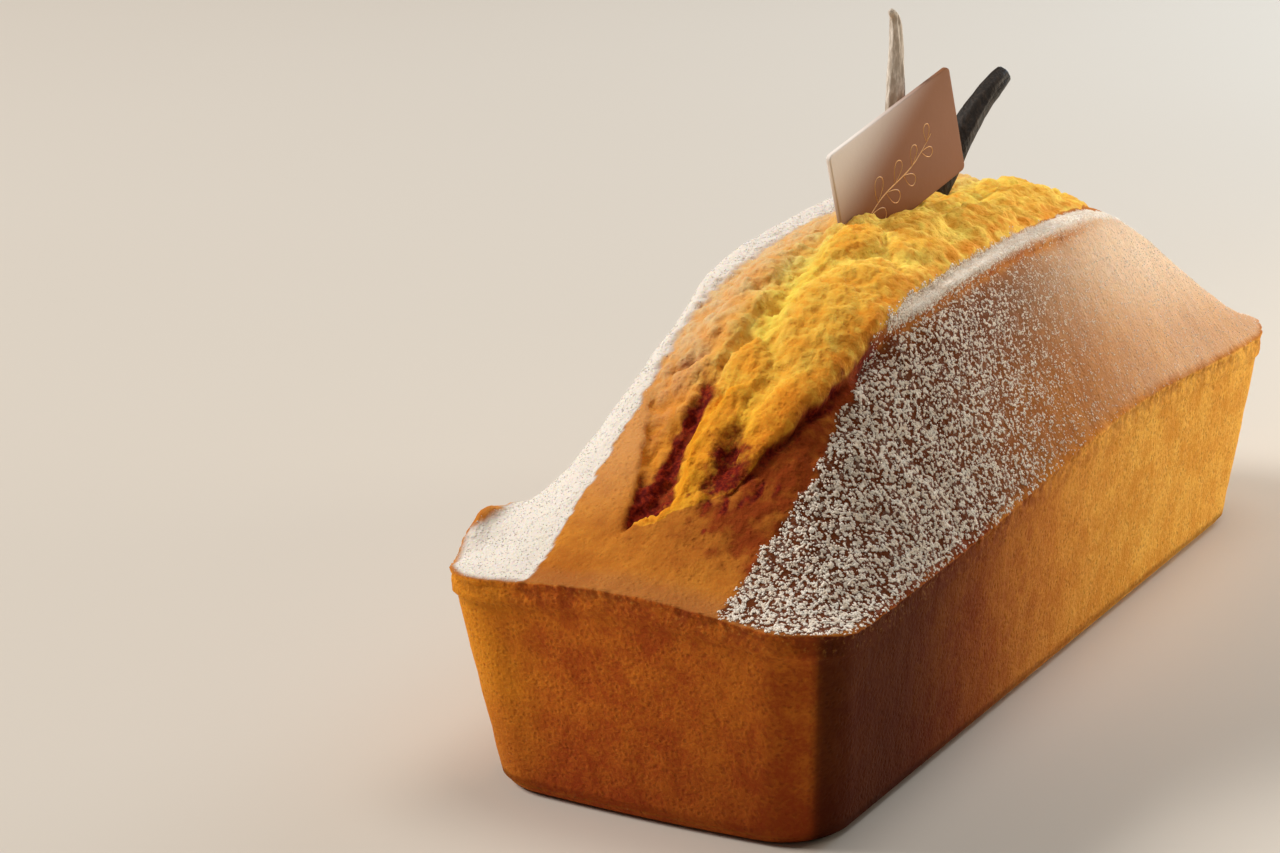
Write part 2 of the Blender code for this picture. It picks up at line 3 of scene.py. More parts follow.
import math
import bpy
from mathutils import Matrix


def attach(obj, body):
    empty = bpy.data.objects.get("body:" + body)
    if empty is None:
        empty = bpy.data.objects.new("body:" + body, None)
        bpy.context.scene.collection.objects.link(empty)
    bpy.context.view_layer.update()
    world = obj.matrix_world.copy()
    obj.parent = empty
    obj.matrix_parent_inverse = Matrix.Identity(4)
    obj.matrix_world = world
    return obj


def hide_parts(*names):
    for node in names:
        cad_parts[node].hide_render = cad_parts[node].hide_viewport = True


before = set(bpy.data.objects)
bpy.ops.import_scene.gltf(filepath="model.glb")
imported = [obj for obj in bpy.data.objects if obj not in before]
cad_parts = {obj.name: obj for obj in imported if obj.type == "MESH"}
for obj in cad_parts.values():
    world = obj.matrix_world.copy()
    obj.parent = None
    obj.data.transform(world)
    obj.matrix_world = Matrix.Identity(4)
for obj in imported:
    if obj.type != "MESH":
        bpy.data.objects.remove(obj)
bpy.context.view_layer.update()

from types import SimpleNamespace

import bpy
import numpy as np
from mathutils import Matrix, Vector, noise

# Loaf: the tin's shape, from the flat base to the rim of the crust, as in the CAD model, apart
# from the rim's overhang, which is half of the CAD model's
RIM_LENGTH = 0.243
RIM_WIDTH = 0.090
RIM_CORNER = 0.0138
BASE_LENGTH = 0.2264
BASE_WIDTH = 0.0786
BASE_CORNER = 0.0135
BASE_END_BULGE = 0.0020
BASE_FILLET = 0.0025
RIM_OVERHANG = 0.0003
WALL_UNEVENNESS = 0.0005
WALL_UNEVENNESS_SIZE = 0.026
WALL_TOP_SHARE = 0.88
HALF_LENGTH = RIM_LENGTH / 2
HALF_WIDTH = RIM_WIDTH / 2

# Rim: its height along the sides and the ends, and its swells as (height, middle, spread)
SIDE_RIM_HEIGHT = 0.0457
SIDE_RIM_SWELL = (0.0060, 0.025, 0.060)
FRONT_UPTURN = (0.0022, -0.1215, 0.010)
BACK_UPTURN = (0.0010, 0.1215, 0.0045)
END_RIM_HEIGHT = 0.0482
END_RIM_SWELL = (0.0026, 0.0, 0.025)

# Dome: the crest above the end rim, how it rises from each end as (distance, power), its
# fall towards the shoulders, and the higher left shoulder
CREST_RISE = 0.0444
CREST_FROM_FRONT = (0.0463, 1.68)
CREST_FROM_BACK = (0.0372, 1.64)
SHOULDER_X = 0.022
SHOULDER_FALL = 0.0032
LEFT_SHOULDER = (0.0056, -0.027, 0.0103)

# Flanks: slope at the rim, its growth away from each end, its extra mid-length and on the
# left, and how softly the crest turns into them
FLANK_SLOPE = 0.17
FLANK_GROWTH = 1.71
FLANK_FROM_FRONT = (0.0422, 1.57)
FLANK_FROM_BACK = (0.0423, 0.80)
FLANK_EXTRA = 0.38
FLANK_EXTRA_Y = (-0.060, -0.030)
LEFT_FLANK_GAIN = 0.10
LEFT_FLANK_X = (0.010, 0.025)
SHOULDER_BLEND = 0.0010
SHOULDER_BLEND_SWELL = (0.0035, 0.035, 0.025)

# Flap of crust that stands up from the left rim near the front
FLAP_Y = (-0.112, -0.101, -0.093, -0.077)
FLAP_THINNING = 0.3
FLAP_INSET = 0.0016
FLAP_EDGE = (0.0040, 0.0024)
FLAP_FOOT = (0.0044, 0.0085)

# Burst: where it fades out at the front and the back, its left and right edges, how far it
# lifts, the share of that lift at its edges, and the step at its right lip
BURST_FRONT_Y = (-0.108, -0.100)
BURST_BACK_Y = (0.090, 0.101)
BURST_LEFT = (
    (-0.105, -0.0083), (-0.099, -0.0092), (-0.096, -0.0100), (-0.092, -0.0111), (-0.087, -0.0128),
    (-0.083, -0.0146), (-0.076, -0.0176), (-0.069, -0.0200), (-0.055, -0.0209), (-0.020, -0.0212),
    (0.040, -0.0200), (0.072, -0.0155), (0.090, -0.0070), (0.100, 0.0000),
)
BURST_RIGHT = (
    (-0.106, -0.0055), (-0.102, 0.0000), (-0.098, 0.0050), (-0.094, 0.0105), (-0.088, 0.0130),
    (-0.079, 0.0163), (-0.070, 0.0192), (-0.062, 0.0208), (-0.050, 0.0218), (0.000, 0.0218),
    (0.052, 0.0206), (0.070, 0.0160), (0.088, 0.0090), (0.100, 0.0010),
)
BURST_LIFT = (
    (-0.108, 0.0), (-0.100, 0.0003), (-0.090, 0.0012), (-0.080, 0.0030), (-0.055, 0.0052),
    (-0.020, 0.0060), (0.010, 0.0040), (0.035, 0.0020), (0.062, 0.0018), (0.080, 0.0020),
    (0.102, 0.0),
)
BURST_EDGE_LIFT = 0.45
BURST_LEFT_SHARE = 0.25
LIP_STEP = (
    (-0.106, 0.0), (-0.098, 0.0002), (-0.092, 0.0020), (-0.075, 0.0028), (-0.060, 0.0024),
    (-0.045, 0.0014), (0.055, 0.0010), (0.090, 0.0),
)
LIP_SHARE = (0.55, 0.95)
LIP_WIDTH = 0.0005

# Lumps of crumb in the burst: centre, half length, half width, heading of the length from
# +Y towards +X in degrees, and height
LUMPS = (
    ((0.0140, -0.0520), 0.0235, 0.0112, 10, 0.0021),
    ((0.0160, -0.0790), 0.0215, 0.0062, 17, 0.0017),
    ((0.0026, -0.0860), 0.0130, 0.0036, 13, 0.0020),
    ((0.0025, -0.0712), 0.0060, 0.0054, 0, 0.0022),
    ((-0.0048, -0.0797), 0.0040, 0.0047, 20, 0.0019),
    ((-0.0115, -0.0770), 0.0070, 0.0046, 15, 0.0017),
    ((-0.0070, -0.0620), 0.0110, 0.0052, 5, 0.0020),
    ((-0.0158, -0.0640), 0.0120, 0.0050, 8, 0.0015),
    ((-0.0105, -0.0420), 0.0120, 0.0056, 5, 0.0019),
    ((0.0035, -0.0270), 0.0100, 0.0056, 8, 0.0021),
    ((0.0145, -0.0170), 0.0085, 0.0058, 15, 0.0017),
    ((0.0085, -0.0060), 0.0100, 0.0056, -5, 0.0019),
    ((-0.0065, -0.0120), 0.0115, 0.0060, -8, 0.0019),
    ((-0.0165, -0.0120), 0.0180, 0.0056, 0, 0.0014),
    ((0.0150, 0.0130), 0.0120, 0.0058, 0, 0.0018),
    ((0.0030, 0.0200), 0.0120, 0.0070, 10, 0.0016),
    ((0.0100, 0.0420), 0.0170, 0.0090, -4, 0.0018),
    ((-0.0095, 0.0400), 0.0200, 0.0070, 0, 0.0017),
    ((0.0020, 0.0700), 0.0150, 0.0090, -8, 0.0015),
)
LUMP_POWER = 0.45
LUMP_SINK = 0.0013
LUMP_WARP = 0.0014
LUMP_WARP_SIZE = 0.0065
LUMP_WARP_LAYERS = (0.5, 7.5)
CRUMB_SIZE = 0.0055
CRUMB_HEIGHT = 0.0010
CRUMB_RADIUS = 0.7
CRUMB_LAYER = 0.5
CRUMB_MIDDLE = 0.5
CRUMB_Y = (-0.100, -0.080)

# Hollow at the front of the burst, from its left edge to the torn ridge
RIDGE_X = (
    (-0.1050, -0.0070), (-0.1031, -0.0049), (-0.1022, -0.0016), (-0.0986, 0.0003), (-0.0964, 0.0006),
    (-0.0908, -0.0009), (-0.0852, -0.0022), (-0.0803, 0.0010), (-0.0754, 0.0070),
)
HOLLOW_DEPTH = (
    (-0.1056, 0.0), (-0.1020, 0.0022), (-0.0950, 0.0030), (-0.0860, 0.0028), (-0.0790, 0.0016),
    (-0.0740, 0.0),
)
HOLLOW_LEFT_SHARE = 0.7
HOLLOW_EDGE = 0.0004

# Clefts and ridges in the burst: depth (or height below zero), half width, route in X and Y
CREVICE = (0.0024, 0.0017, ((-0.0079, -0.1050), (-0.0076, -0.1015), (-0.0052, -0.0970), (-0.0046, -0.0920),
                            (-0.0056, -0.0870), (-0.0050, -0.0820), (-0.0034, -0.0785)))
TORN_RIDGE = (-0.0014, 0.0010, tuple((x, y) for y, x in RIDGE_X))
DARK_CLEFT = (0.0032, 0.0026, ((0.0036, -0.0950), (0.0062, -0.0938), (0.0080, -0.0920), (0.0072, -0.0885),
                               (0.0068, -0.0858), (0.0084, -0.0840)))
VALLEY = (0.0020, 0.0024, ((0.0096, -0.0720), (0.0062, -0.0680), (0.0030, -0.0640), (0.0022, -0.0590),
                           (0.0002, -0.0520), (-0.0010, -0.0430), (-0.0040, -0.0290), (-0.0110, -0.0080)))
LUMP_CLEFT = (0.0012, 0.0014, ((-0.0048, -0.0770), (-0.0032, -0.0735), (-0.0026, -0.0690), (0.0004, -0.0650)))
LEFT_DENT = (0.0018, 0.0017, ((-0.0150, -0.0720), (-0.0100, -0.0695), (-0.0060, -0.0690)))
RIGHT_FOLD = (0.0009, 0.0014, ((0.0020, -0.0370), (0.0070, -0.0330), (0.0113, -0.0275), (0.0172, -0.0260)))
BACK_VALLEY = (0.0016, 0.0026, ((0.0060, 0.0080), (0.0080, 0.0180), (0.0050, 0.0400), (0.0070, 0.0620),
                                (0.0030, 0.0860)))
POD_DENT = (0.0016, 0.0030, ((0.0050, 0.0110), (0.0015, 0.0200), (-0.0005, 0.0290)))
FURROWS = (CREVICE, TORN_RIDGE, DARK_CLEFT, VALLEY, LUMP_CLEFT, LEFT_DENT, RIGHT_FOLD, BACK_VALLEY,
           POD_DENT)
FURROW_END = 0.04
FURROW_NARROWING = 0.5

# Ledge of crust on the right of the burst: where it drops off, how far, how steeply, how soon
# the crust is back at its own shape on each side, the share of the drop that is above it, how
# far its edge leans out and rises, and the crease past it. A stretch of X or Y has the limits
# between which it eases in, then those between which it eases out
LEDGE_X = (
    (-0.0620, 0.0204), (-0.0550, 0.0218), (-0.0310, 0.0246), (0.0000, 0.0254), (0.0300, 0.0258),
    (0.0700, 0.0240),
)
LEDGE_DROP = ((-0.0640, 0.0), (-0.0520, 0.0018), (-0.0300, 0.0022), (0.0200, 0.0020), (0.0700, 0.0))
LEDGE_EDGE = 0.0004
LEDGE_FADE = (0.0045, 0.0075)
LEDGE_ABOVE = 0.7
LEDGE_LEAN = 0.0006
LEDGE_CREST = 0.0014
CREASE_Y = ((-0.066, -0.052), (0.010, 0.080))
CREASE_TUCK = ((-0.0006, 0.0010), (0.0007, 0.0008))
CREST_FADE = 0.0030
CREST_EDGE = 0.0002

# Plaque and pods, as in the CAD model. Each pod has its (centre, width, depth) from the foot up
PLAQUE_LENGTH = 0.0455
PLAQUE_HEIGHT = 0.0252
PLAQUE_THICKNESS = 0.0012
PLAQUE_CORNER = 0.0013
PLAQUE_CORNER_STEPS = 8
PLAQUE_SOFT_EDGE = 0.0003
PLAQUE_CENTRE = (0.0002, 0.0014, 0.1088)
PLAQUE_YAW = math.radians(9.7)
PLAQUE_PITCH = math.radians(14.9)
DARK_POD = (
    ((-0.0056, 0.0182, 0.0868), 0.0052, 0.0038),
    ((-0.0030, 0.0264, 0.0955), 0.0056, 0.0038),
    ((0.0000, 0.0338, 0.1070), 0.0058, 0.0036),
    ((0.0020, 0.0405, 0.1140), 0.0052, 0.0033),
    ((0.0034, 0.0456, 0.1180), 0.0045, 0.0030),
    ((0.0042, 0.0496, 0.1198), 0.0036, 0.0024),
)
PALE_POD = (
    ((-0.0040, 0.0080, 0.0850), 0.0046, 0.0036),
    ((-0.0040, 0.0088, 0.1000), 0.0048, 0.0038),
    ((-0.0040, 0.0094, 0.1200), 0.0042, 0.0034),
    ((-0.0040, 0.0097, 0.1320), 0.0031, 0.0027),
    ((-0.0040, 0.0092, 0.1385), 0.0023, 0.0021),
    ((-0.0042, 0.0070, 0.1408), 0.0013, 0.0012),
)

# Sprig on the plaque's front, in lengths along and up it, and the relief of its lines
SPRIG_START = (-0.0165, -0.0085)
SPRIG_END = (0.0125, 0.0010)
SPRIG_WAVE = 0.0011
SPRIG_STEM_WIDTH = 0.00046
SPRIG_STEM_POINTS = 60
SPRIG_LEAF = 0.0056
SPRIG_LEAF_WIDTH = 0.00036
SPRIG_LEAF_POINTS = 24
SPRIG_LEAF_TURN = 0.85
SPRIG_LEAF_BOW = 0.26
SPRIG_LEAF_SHARES = (1.15, 0.45)
SPRIG_TAPER = 0.85
SPRIG_LEAVES = (0.12, 0.24, 0.36, 0.48, 0.60, 0.72, 0.84, 0.93)
SPRIG_SINK = 0.00005
SPRIG_RAISED = 0.00009

# Pods' skin: the way they face, their shrivelled ridges and finer creases as (depth, turns
# round, turns along), and how they close at the ends
POD_FACING = (0.48, -0.82, 0.31)
POD_RIDGES = (0.20, 2.2, 3.0)
POD_CREASES = (0.09, 5.0, 9.0)
POD_CLOSING = (0.02, 16.0)
POD_SIDES = 40
POD_RINGS = 150

# Finer relief of the baked top, the walls and the rim, as (height, size), how far down from
# the rim it is crisp, and the groove and cracks that scorch and painted shade darken, as routes in X and Y
TORN_RELIEF = ((0.00070, 0.0036), (0.00042, 0.0017), (0.00030, 0.0008))
CRUMB_ABOVE = 0.45
CRUMB_FALL = 2.0
CRUMB_COARSE = 0.40
# Painted shade between the crumbs: where it starts and how fast it grows
CRUMB_GAP_SHADE = (0.30, 0.75)
CRUMB_SHIFT = 0.0011
CRUMB_SHIFT_SIZE = 0.0028
SKIN_RELIEF = ((0.00030, 0.0065), (0.00012, 0.0019), (0.00008, 0.0010))
WALL_RELIEF = ((0.00020, 0.0045), (0.00010, 0.0015))
RIM_RELIEF = 0.00032
RIM_RELIEF_SIZE = 0.0016
RIM_JAGS = ((1.0, 0.0017), (0.6, 0.0007))
RIM_JAG_OUT = 0.00035
RIM_JAG_UP = 0.00030
CRISP_DEPTH = 0.0018
BRIM_DEPTH = 0.0065
DARK_GROOVE = (
    (-0.0083, -0.1040), (-0.0062, -0.0990), (-0.0052, -0.0951), (-0.0056, -0.0901), (-0.0051, -0.0838),
    (-0.0032, -0.0790), (-0.0056, -0.0750), (-0.0060, -0.0730),
)
CRACKS = (
    ((0.0018, -0.0985), (0.0030, -0.0968)),
    ((0.0066, -0.1010), (0.0072, -0.0985), (0.0066, -0.0966)),
    ((0.0100, -0.1000), (0.0108, -0.0975), (0.0102, -0.0955)),
    ((0.0152, -0.0960), (0.0160, -0.0925), (0.0156, -0.0900)),
    ((0.0130, -0.0972), (0.0141, -0.0948), (0.0150, -0.0940)),
    ((0.0182, -0.0925), (0.0190, -0.0905), (0.0187, -0.0885)),
    ((0.0085, -0.1040), (0.0092, -0.1022)),
)

# Routes darkened by scorch and painted shade, with their half widths and how dark they are, and
# the other darkened parts: the hollow, a painted shadow under the lip and painted shade in the crease
CRACK = (0.00065, 0.9)
SCORCH_AND_SHADE = (
    (DARK_GROOVE, 0.0022, 1.0),
    (DARK_CLEFT[2], 0.0050, 1.05),
    (LEFT_DENT[2], 0.0015, 0.5),
    (LUMP_CLEFT[2], 0.0011, 0.4),
    (RIGHT_FOLD[2], 0.0009, 0.24),
    *((route, *CRACK) for route in CRACKS),
)
HOLLOW_SCORCH_AND_SHADE = (0.24, 0.96)
HOLLOW_SCORCH_AND_SHADE_Y = (-0.100, -0.089)
RIDGE_CLEAR = 1.3
LIP_SHADOW = (0.9, 0.0009, 0.0014)
LIP_SHADOW_Y = ((-0.095, -0.090), (-0.055, -0.046))
CREASE_SHADE = (0.50, 0.0004, 0.0005)

# What the cake's material reads on the top: full depth and height, edges, and stretches
HOLLOW_FULL = 0.0016
LUMP_FULL = 0.0018
TORN_EDGES = (0.0004, 0.0003)
TORN_Y = ((-0.106, -0.103), (0.090, 0.098))
VALLEY_SPREADS = ((0.0050, 1.0), (0.0042, 0.7))
RIDGE_SPREAD = 0.0017
LIP_BAND = (-0.0006, 0.0022)
STRIP_Y = (-0.062, -0.046)
STRIP_EDGE = 0.0003
# The left and the pale stretches: there the crumb and the bare crust are painted paler, as light from the
# left
LEFT_X = (-0.002, 0.013)
PALE_X = (0.004, 0.016)
PALE_Y = (-0.108, -0.086)
NEAR_Y = (-0.088, -0.060)
RUDDY_X = (-0.006, 0.016)
RUDDY_Y = ((-0.117, -0.098), (-0.050, -0.040))
DUSTY_FRONT = (0.002, 0.011)
# The far stretch: there the crust under the sugar and a white haze are painted paler, as light from behind
FAR_LIGHT_Y = (-0.050, 0.070)

# The same on the walls: the far end, painted paler as light from behind, the foot, the left of the
# front, painted golden as light from the left, and the corner with its painted shade
WALL_FAR_LIGHT_Y = (-0.070, 0.050)
WALL_LOW_Z = (0.0, 0.032)
WALL_LEFT_X = (-0.043, -0.008)
WALL_SHADE_Y = (-0.090, 0.010)
WALL_SHADE_EDGE = 0.05
WALL_SHADE_RAGGED = (0.05, 0.004)
FRONT_SHADE = 0.22
FRONT_SHADE_X = (-0.018, 0.034)
FRONT_SHADE_Y = (-0.110, -0.050)

# Lip over the burst's right edge: how it leans out above and tucks in below, as (middle, spread)
LIP_LEAN = (-0.0006, 0.0012)
LIP_TUCK = 0.6
LIP_TUCK_IN = (0.0009, 0.0008)
LIP_TUCK_DOWN = (0.0009, 0.0010)
LIP_RAGGED = (0.60, 0.40, 0.0040)

# Sugar: where it starts on the left and the right, the haze and the ragged line at its edge,
# how far it stays off the rim, closer at the right, and where it lies sparse by the right rim
BARE_LEFT = (
    (-0.1215, 0.0212), (-0.1050, 0.0218), (-0.0960, 0.0209), (-0.0880, 0.0196), (-0.0795, 0.0185),
    (-0.0630, 0.0177), (0.0000, 0.0170), (0.1000, 0.0160),
)
BARE_RIGHT = (
    (-0.1215, 0.0212), (-0.1030, 0.0212), (-0.0940, 0.0226), (-0.0830, 0.0236), (-0.0700, 0.0224),
    (-0.0500, 0.0215), (0.1000, 0.0210),
)
HAZE_WIDTH = 0.0030
HAZE_Y = (-0.085, -0.055)
BARE_EDGE_RAGGED = 0.0010
BARE_EDGE_SIZE = 0.0026
BARE_EDGE_SOFT = 0.0005
WANDER_SIZE = 0.006
RIM_CLEAR = 0.0009
RIM_CLEAR_SOFT = 0.0006
RIM_CLEAR_WANDER = 0.0005
RIM_CLOSER = 0.6
RIM_CLOSER_X = (0.0, 0.02)
RIM_CLOSER_Y = (-0.07, -0.02)
FLAP_WANDER = 0.12
SPARSE = 0.55
SPARSE_X = (0.028, 0.041)
SPARSE_Y = (-0.060, 0.005)
FLAP_CLEAR = (0.60, 0.74)
CREASE_CLEAR = ((0.95, 0.0004, 0.0006), (0.15, 0.0016, 0.0012))

# Grains: the clusters on the right, how many places are drawn for each grain, how much closer
# they lie on the ledge, how they thin out, and their smallest and largest radii at the front
# right and elsewhere. Each part has its name, side, stretch of Y and the grains on that side
CLUSTER_SIZE = 0.00090
CLUSTER_EDGE = (0.02, 0.15)
CANDIDATES = 5
STRIP_DENSITY = 3.0
THINNING = (0.78, -0.055, 0.035)
GRAIN_RADII = ((0.00013, 0.00036), (0.00009, 0.00021))
GRAIN_SHRINK_Y = (-0.080, 0.060)
GRAIN_SIZE_POWER = 1.6
GRAIN_STRETCH = (0.65, 1.35)
GRAIN_FLATNESS = (0.6, 1.0)
GRAIN_LIFT = 0.15
BETWEEN_CLUSTERS = 0.04
SCATTERS = (
    ("sugar_right_front", 1, (-0.1215, -0.0560), 56000),
    ("sugar_right_middle", 1, (-0.0560, -0.0020), 56000),
    ("sugar_right_back", 1, (-0.0020, 0.1215), 56000),
    ("sugar_left", -1, (-0.1215, 0.1215), 16000),
)
MOST_GRAINS = 24500

# Mesh of the loaf's surface, and the rings just under its rim as (drop, inset)
BURST_HALF_WIDTH = 0.028
COLUMN_STEP = 0.00045
ROW_STEP = 0.0006
FLANK_COLUMNS = 3
CORNER_STEPS = 13
WALL_STEPS = 21
FILLET_STEPS = 4
RIM_RINGS = ((0.0004, 0.0), (0.0009, 0.00005)) + tuple(
    (drop, RIM_OVERHANG) for drop in (0.0014, 0.0020, 0.0028, 0.0037, 0.0047)
)

# Camera, fitted to the photograph
CAMERA_AZIMUTH = math.radians(30.442)
CAMERA_ELEVATION = math.radians(17.813)
CAMERA_ROLL = math.radians(-1.476)
CAMERA_TARGET = (-0.0573, -0.0136, 0.0450)
CAMERA_DISTANCE = 0.780
CAMERA_LENS = 96.68
SENSOR_WIDTH = 36.0

# Lights: name, place, target, size, power, colour and the angle they spread over in degrees
LIGHTS = (
    ("window", (-2.35, -0.98, 2.12), (0.0, 0.0, 0.05), 1.1, 104.0, (1.0, 0.97, 0.92), 180),
    ("high", (0.3, 0.5, 3.0), (0.0, 0.0, 0.05), 1.6, 38.0, (1.0, 0.95, 0.89), 180),
    ("back", (0.26, 0.31, 0.09), (0.03, 0.07, 0.05), 0.13, 0.78, (1.0, 0.88, 0.70), 180),
    ("accent", (0.14, 0.02, 0.20), (0.022, 0.01, 0.094), 0.05, 0.011, (1.0, 0.94, 0.86), 62),
    ("behind", (0.20, 0.95, 0.45), (-0.08, 0.55, 0.0), 0.3, 4.4, (0.66, 0.84, 1.0), 180),
)
WORLD_COLOUR = (1.0, 0.86, 0.70, 1.0)
WORLD_STRENGTH = 0.11


def rise(distance, scale, power):
    """Goes from 0 at an edge to 1 well inside it."""
    return 1.0 - np.exp(-((np.maximum(distance, 0.0) / scale) ** power))


def hump(value, middle, spread):
    """Goes up to 1 at a middle and down again."""
    return np.exp(-(((value - middle) / spread) ** 2))


def swell(value, size):
    """A hump with a height."""
    height, middle, spread = size
    return height * hump(value, middle, spread)


def ease(value, start, end):
    """Goes smoothly from 0 at the start to 1 at the end."""
    share = np.clip((value - start) / (end - start), 0.0, 1.0)
    return share * share * (3.0 - 2.0 * share)


def between(value, stretch):
    """1 within a stretch, which eases in over its first pair of limits and out over its last."""
    start, end = stretch
    return ease(value, *start) * (1.0 - ease(value, *end))


def stations(y, table):
    """Value at y of a smooth course through a table of (y, value) stations."""
    places, values = np.array(table).T
    index = np.clip(np.searchsorted(places, y) - 1, 0, len(places) - 2)
    return values[index] + (values[index + 1] - values[index]) * ease(y, places[index], places[index + 1])


def crust_height(x, y):
    """Height of the whole crust, as it would be without the burst."""
    from_front = HALF_LENGTH + y
    from_back = HALF_LENGTH - y
    side_rim = SIDE_RIM_HEIGHT + swell(y, SIDE_RIM_SWELL) + swell(y, FRONT_UPTURN) + swell(y, BACK_UPTURN)
    end_rim = END_RIM_HEIGHT + swell(x, END_RIM_SWELL)
    level = rise(from_front, *CREST_FROM_FRONT) * rise(from_back, *CREST_FROM_BACK)
    crest = CREST_RISE - SHOULDER_FALL * (x / SHOULDER_X) ** 2 + swell(x, LEFT_SHOULDER)
    top = end_rim + level * crest
    growth = FLANK_GROWTH * rise(from_front, *FLANK_FROM_FRONT) + FLANK_EXTRA * ease(y, *FLANK_EXTRA_Y)
    slope = FLANK_SLOPE + growth * rise(from_back, *FLANK_FROM_BACK)
    slope = slope * (1.0 + LEFT_FLANK_GAIN * ease(-x, *LEFT_FLANK_X))
    flank = side_rim + slope * (HALF_WIDTH - np.abs(x))
    blend = SHOULDER_BLEND + swell(from_front, SHOULDER_BLEND_SWELL)
    lower = np.minimum(top, flank)
    return lower - blend * np.log(np.exp((lower - top) / blend) + np.exp((lower - flank) / blend))


def flap_height(x, y):
    """Flap of crust on the left rim: steep at its front end, thin towards the back."""
    start, full, fade, end = FLAP_Y
    along = ease(y, start, full) * (1.0 - FLAP_THINNING * ease(y, full, fade)) * (1.0 - ease(y, fade, end))
    middle = FLAP_INSET - HALF_WIDTH
    edge = FLAP_EDGE[0] * hump(x, middle, FLAP_EDGE[1])
    foot = FLAP_FOOT[0] * hump(x, middle, FLAP_FOOT[1])
    return along * (edge + foot)


def step_up(distance, width):
    """Goes from 0 to 1 across an edge of about this width."""
    return 1.0 / (1.0 + np.exp(-np.clip(distance / width, -40.0, 40.0)))


def ledge_height(x, y):
    """Raised at the ledge's edge and cut back just past it."""
    past = x - stations(y, LEDGE_X)
    raised = np.exp(-np.maximum(-past, 0.0) / LEDGE_FADE[0]) * step_up(-past, LEDGE_EDGE)
    lowered = np.exp(-np.maximum(past, 0.0) / LEDGE_FADE[1]) * step_up(past, LEDGE_EDGE)
    return stations(y, LEDGE_DROP) * (LEDGE_ABOVE * raised - (1.0 - LEDGE_ABOVE) * lowered)


def sampled(function, x, y, z):
    """A function of one place, at each place of the arrays."""
    flat = zip(np.ravel(x), np.ravel(y), np.ravel(z))
    return np.reshape(np.array([function(Vector(place)) for place in flat]), np.shape(x))


def field(function, x, y, z, size):
    """A noise function over arrays of places, with features of a size."""
    return sampled(function, x / size, y / size, z / size)


def relief(function, x, y, z, layers):
    """Sum of noise layers, each a height and a size."""
    return sum(height * field(function, x, y, z, size) for height, size in layers)


def noise_field(x, y, size, layer):
    """Smooth noise between -1 and 1 in one layer, with features of a size."""
    return sampled(noise.noise, x / size, y / size, np.full(np.shape(x), layer))


def furrow_share(x, y, half_width, route):
    """Share of a cleft's depth at each place, shallower and narrower at both of its ends."""
    points = np.array(route)
    steps = np.linalg.norm(np.diff(points, axis=0), axis=1)
    passed = np.concatenate(([0.0], np.cumsum(steps)))
    best = np.full(np.shape(x), np.inf)
    share = np.zeros(np.shape(x))
    for start, end, step, before in zip(points[:-1], points[1:], steps, passed):
        along = ((x - start[0]) * (end[0] - start[0]) + (y - start[1]) * (end[1] - start[1])) / step**2
        along = np.clip(along, 0.0, 1.0)
        gap = np.hypot(x - start[0] - along * (end[0] - start[0]), y - start[1] - along * (end[1] - start[1]))
        nearer = gap < best
        best = np.where(nearer, gap, best)
        share = np.where(nearer, (before + along * step) / passed[-1], share)
    share = FURROW_END + (1.0 - 2.0 * FURROW_END) * share
    fullness = np.sqrt(np.clip(np.sin(math.pi * share), 0.0, 1.0))
    width = half_width * (1.0 - FURROW_NARROWING * (1.0 - fullness))
    return fullness * np.exp(-((best / width) ** 2))


def lump_height(x, y):
    """Height of the highest lump at each place, with outlines that noise shifts."""
    shifted_x = x + LUMP_WARP * noise_field(x, y, LUMP_WARP_SIZE, LUMP_WARP_LAYERS[0])
    shifted_y = y + LUMP_WARP * noise_field(x, y, LUMP_WARP_SIZE, LUMP_WARP_LAYERS[1])
    highest = np.zeros(np.shape(x))
    for centre, half_length, half_width, heading, height in LUMPS:
        turn = math.radians(heading)
        gap_x, gap_y = shifted_x - centre[0], shifted_y - centre[1]
        along = (gap_x * math.sin(turn) + gap_y * math.cos(turn)) / half_length
        across = (gap_x * math.cos(turn) - gap_y * math.sin(turn)) / half_width
        reach = np.clip(1.0 - along**2 - across**2, 0.0, 1.0)
        highest = np.maximum(highest, height * reach**LUMP_POWER)
    return highest


def nearest_middle(place):
    """Distance to the middle of the nearest cell."""
    return noise.voronoi(place)[0][0]


def crumb_tops(x, y, size):
    """Rounded crumbs, from 0 in the gaps between them to 1 on their tops."""
    gaps = sampled(nearest_middle, x / size, y / size, np.full(np.shape(x), CRUMB_LAYER))
    return 1.0 - np.minimum(gaps / CRUMB_RADIUS, 1.0) ** 2


def hollow_depth(x, y):
    """Depth of the hollow, which drops at the crust's torn edge and is deepest at the ridge."""
    left, ridge = stations(y, BURST_LEFT), stations(y, RIDGE_X)
    across = np.clip((x - left) / (ridge - left), 0.0, 1.0)
    within = step_up(x - left, HOLLOW_EDGE) * step_up(ridge - x, HOLLOW_EDGE)
    return stations(y, HOLLOW_DEPTH) * within * (HOLLOW_LEFT_SHARE + (1.0 - HOLLOW_LEFT_SHARE) * across)


def burst_inside(x, y):
    """How far inside the burst each place is, from 0 to 1, and its share of the way across."""
    left, right = stations(y, BURST_LEFT), stations(y, BURST_RIGHT)
    across = (x - left) / (right - left)
    inside = ease(across, 0.0, BURST_LEFT_SHARE) * step_up(right - x, LIP_WIDTH)
    return inside * ease(y, *BURST_FRONT_Y) * (1.0 - ease(y, *BURST_BACK_Y)), across


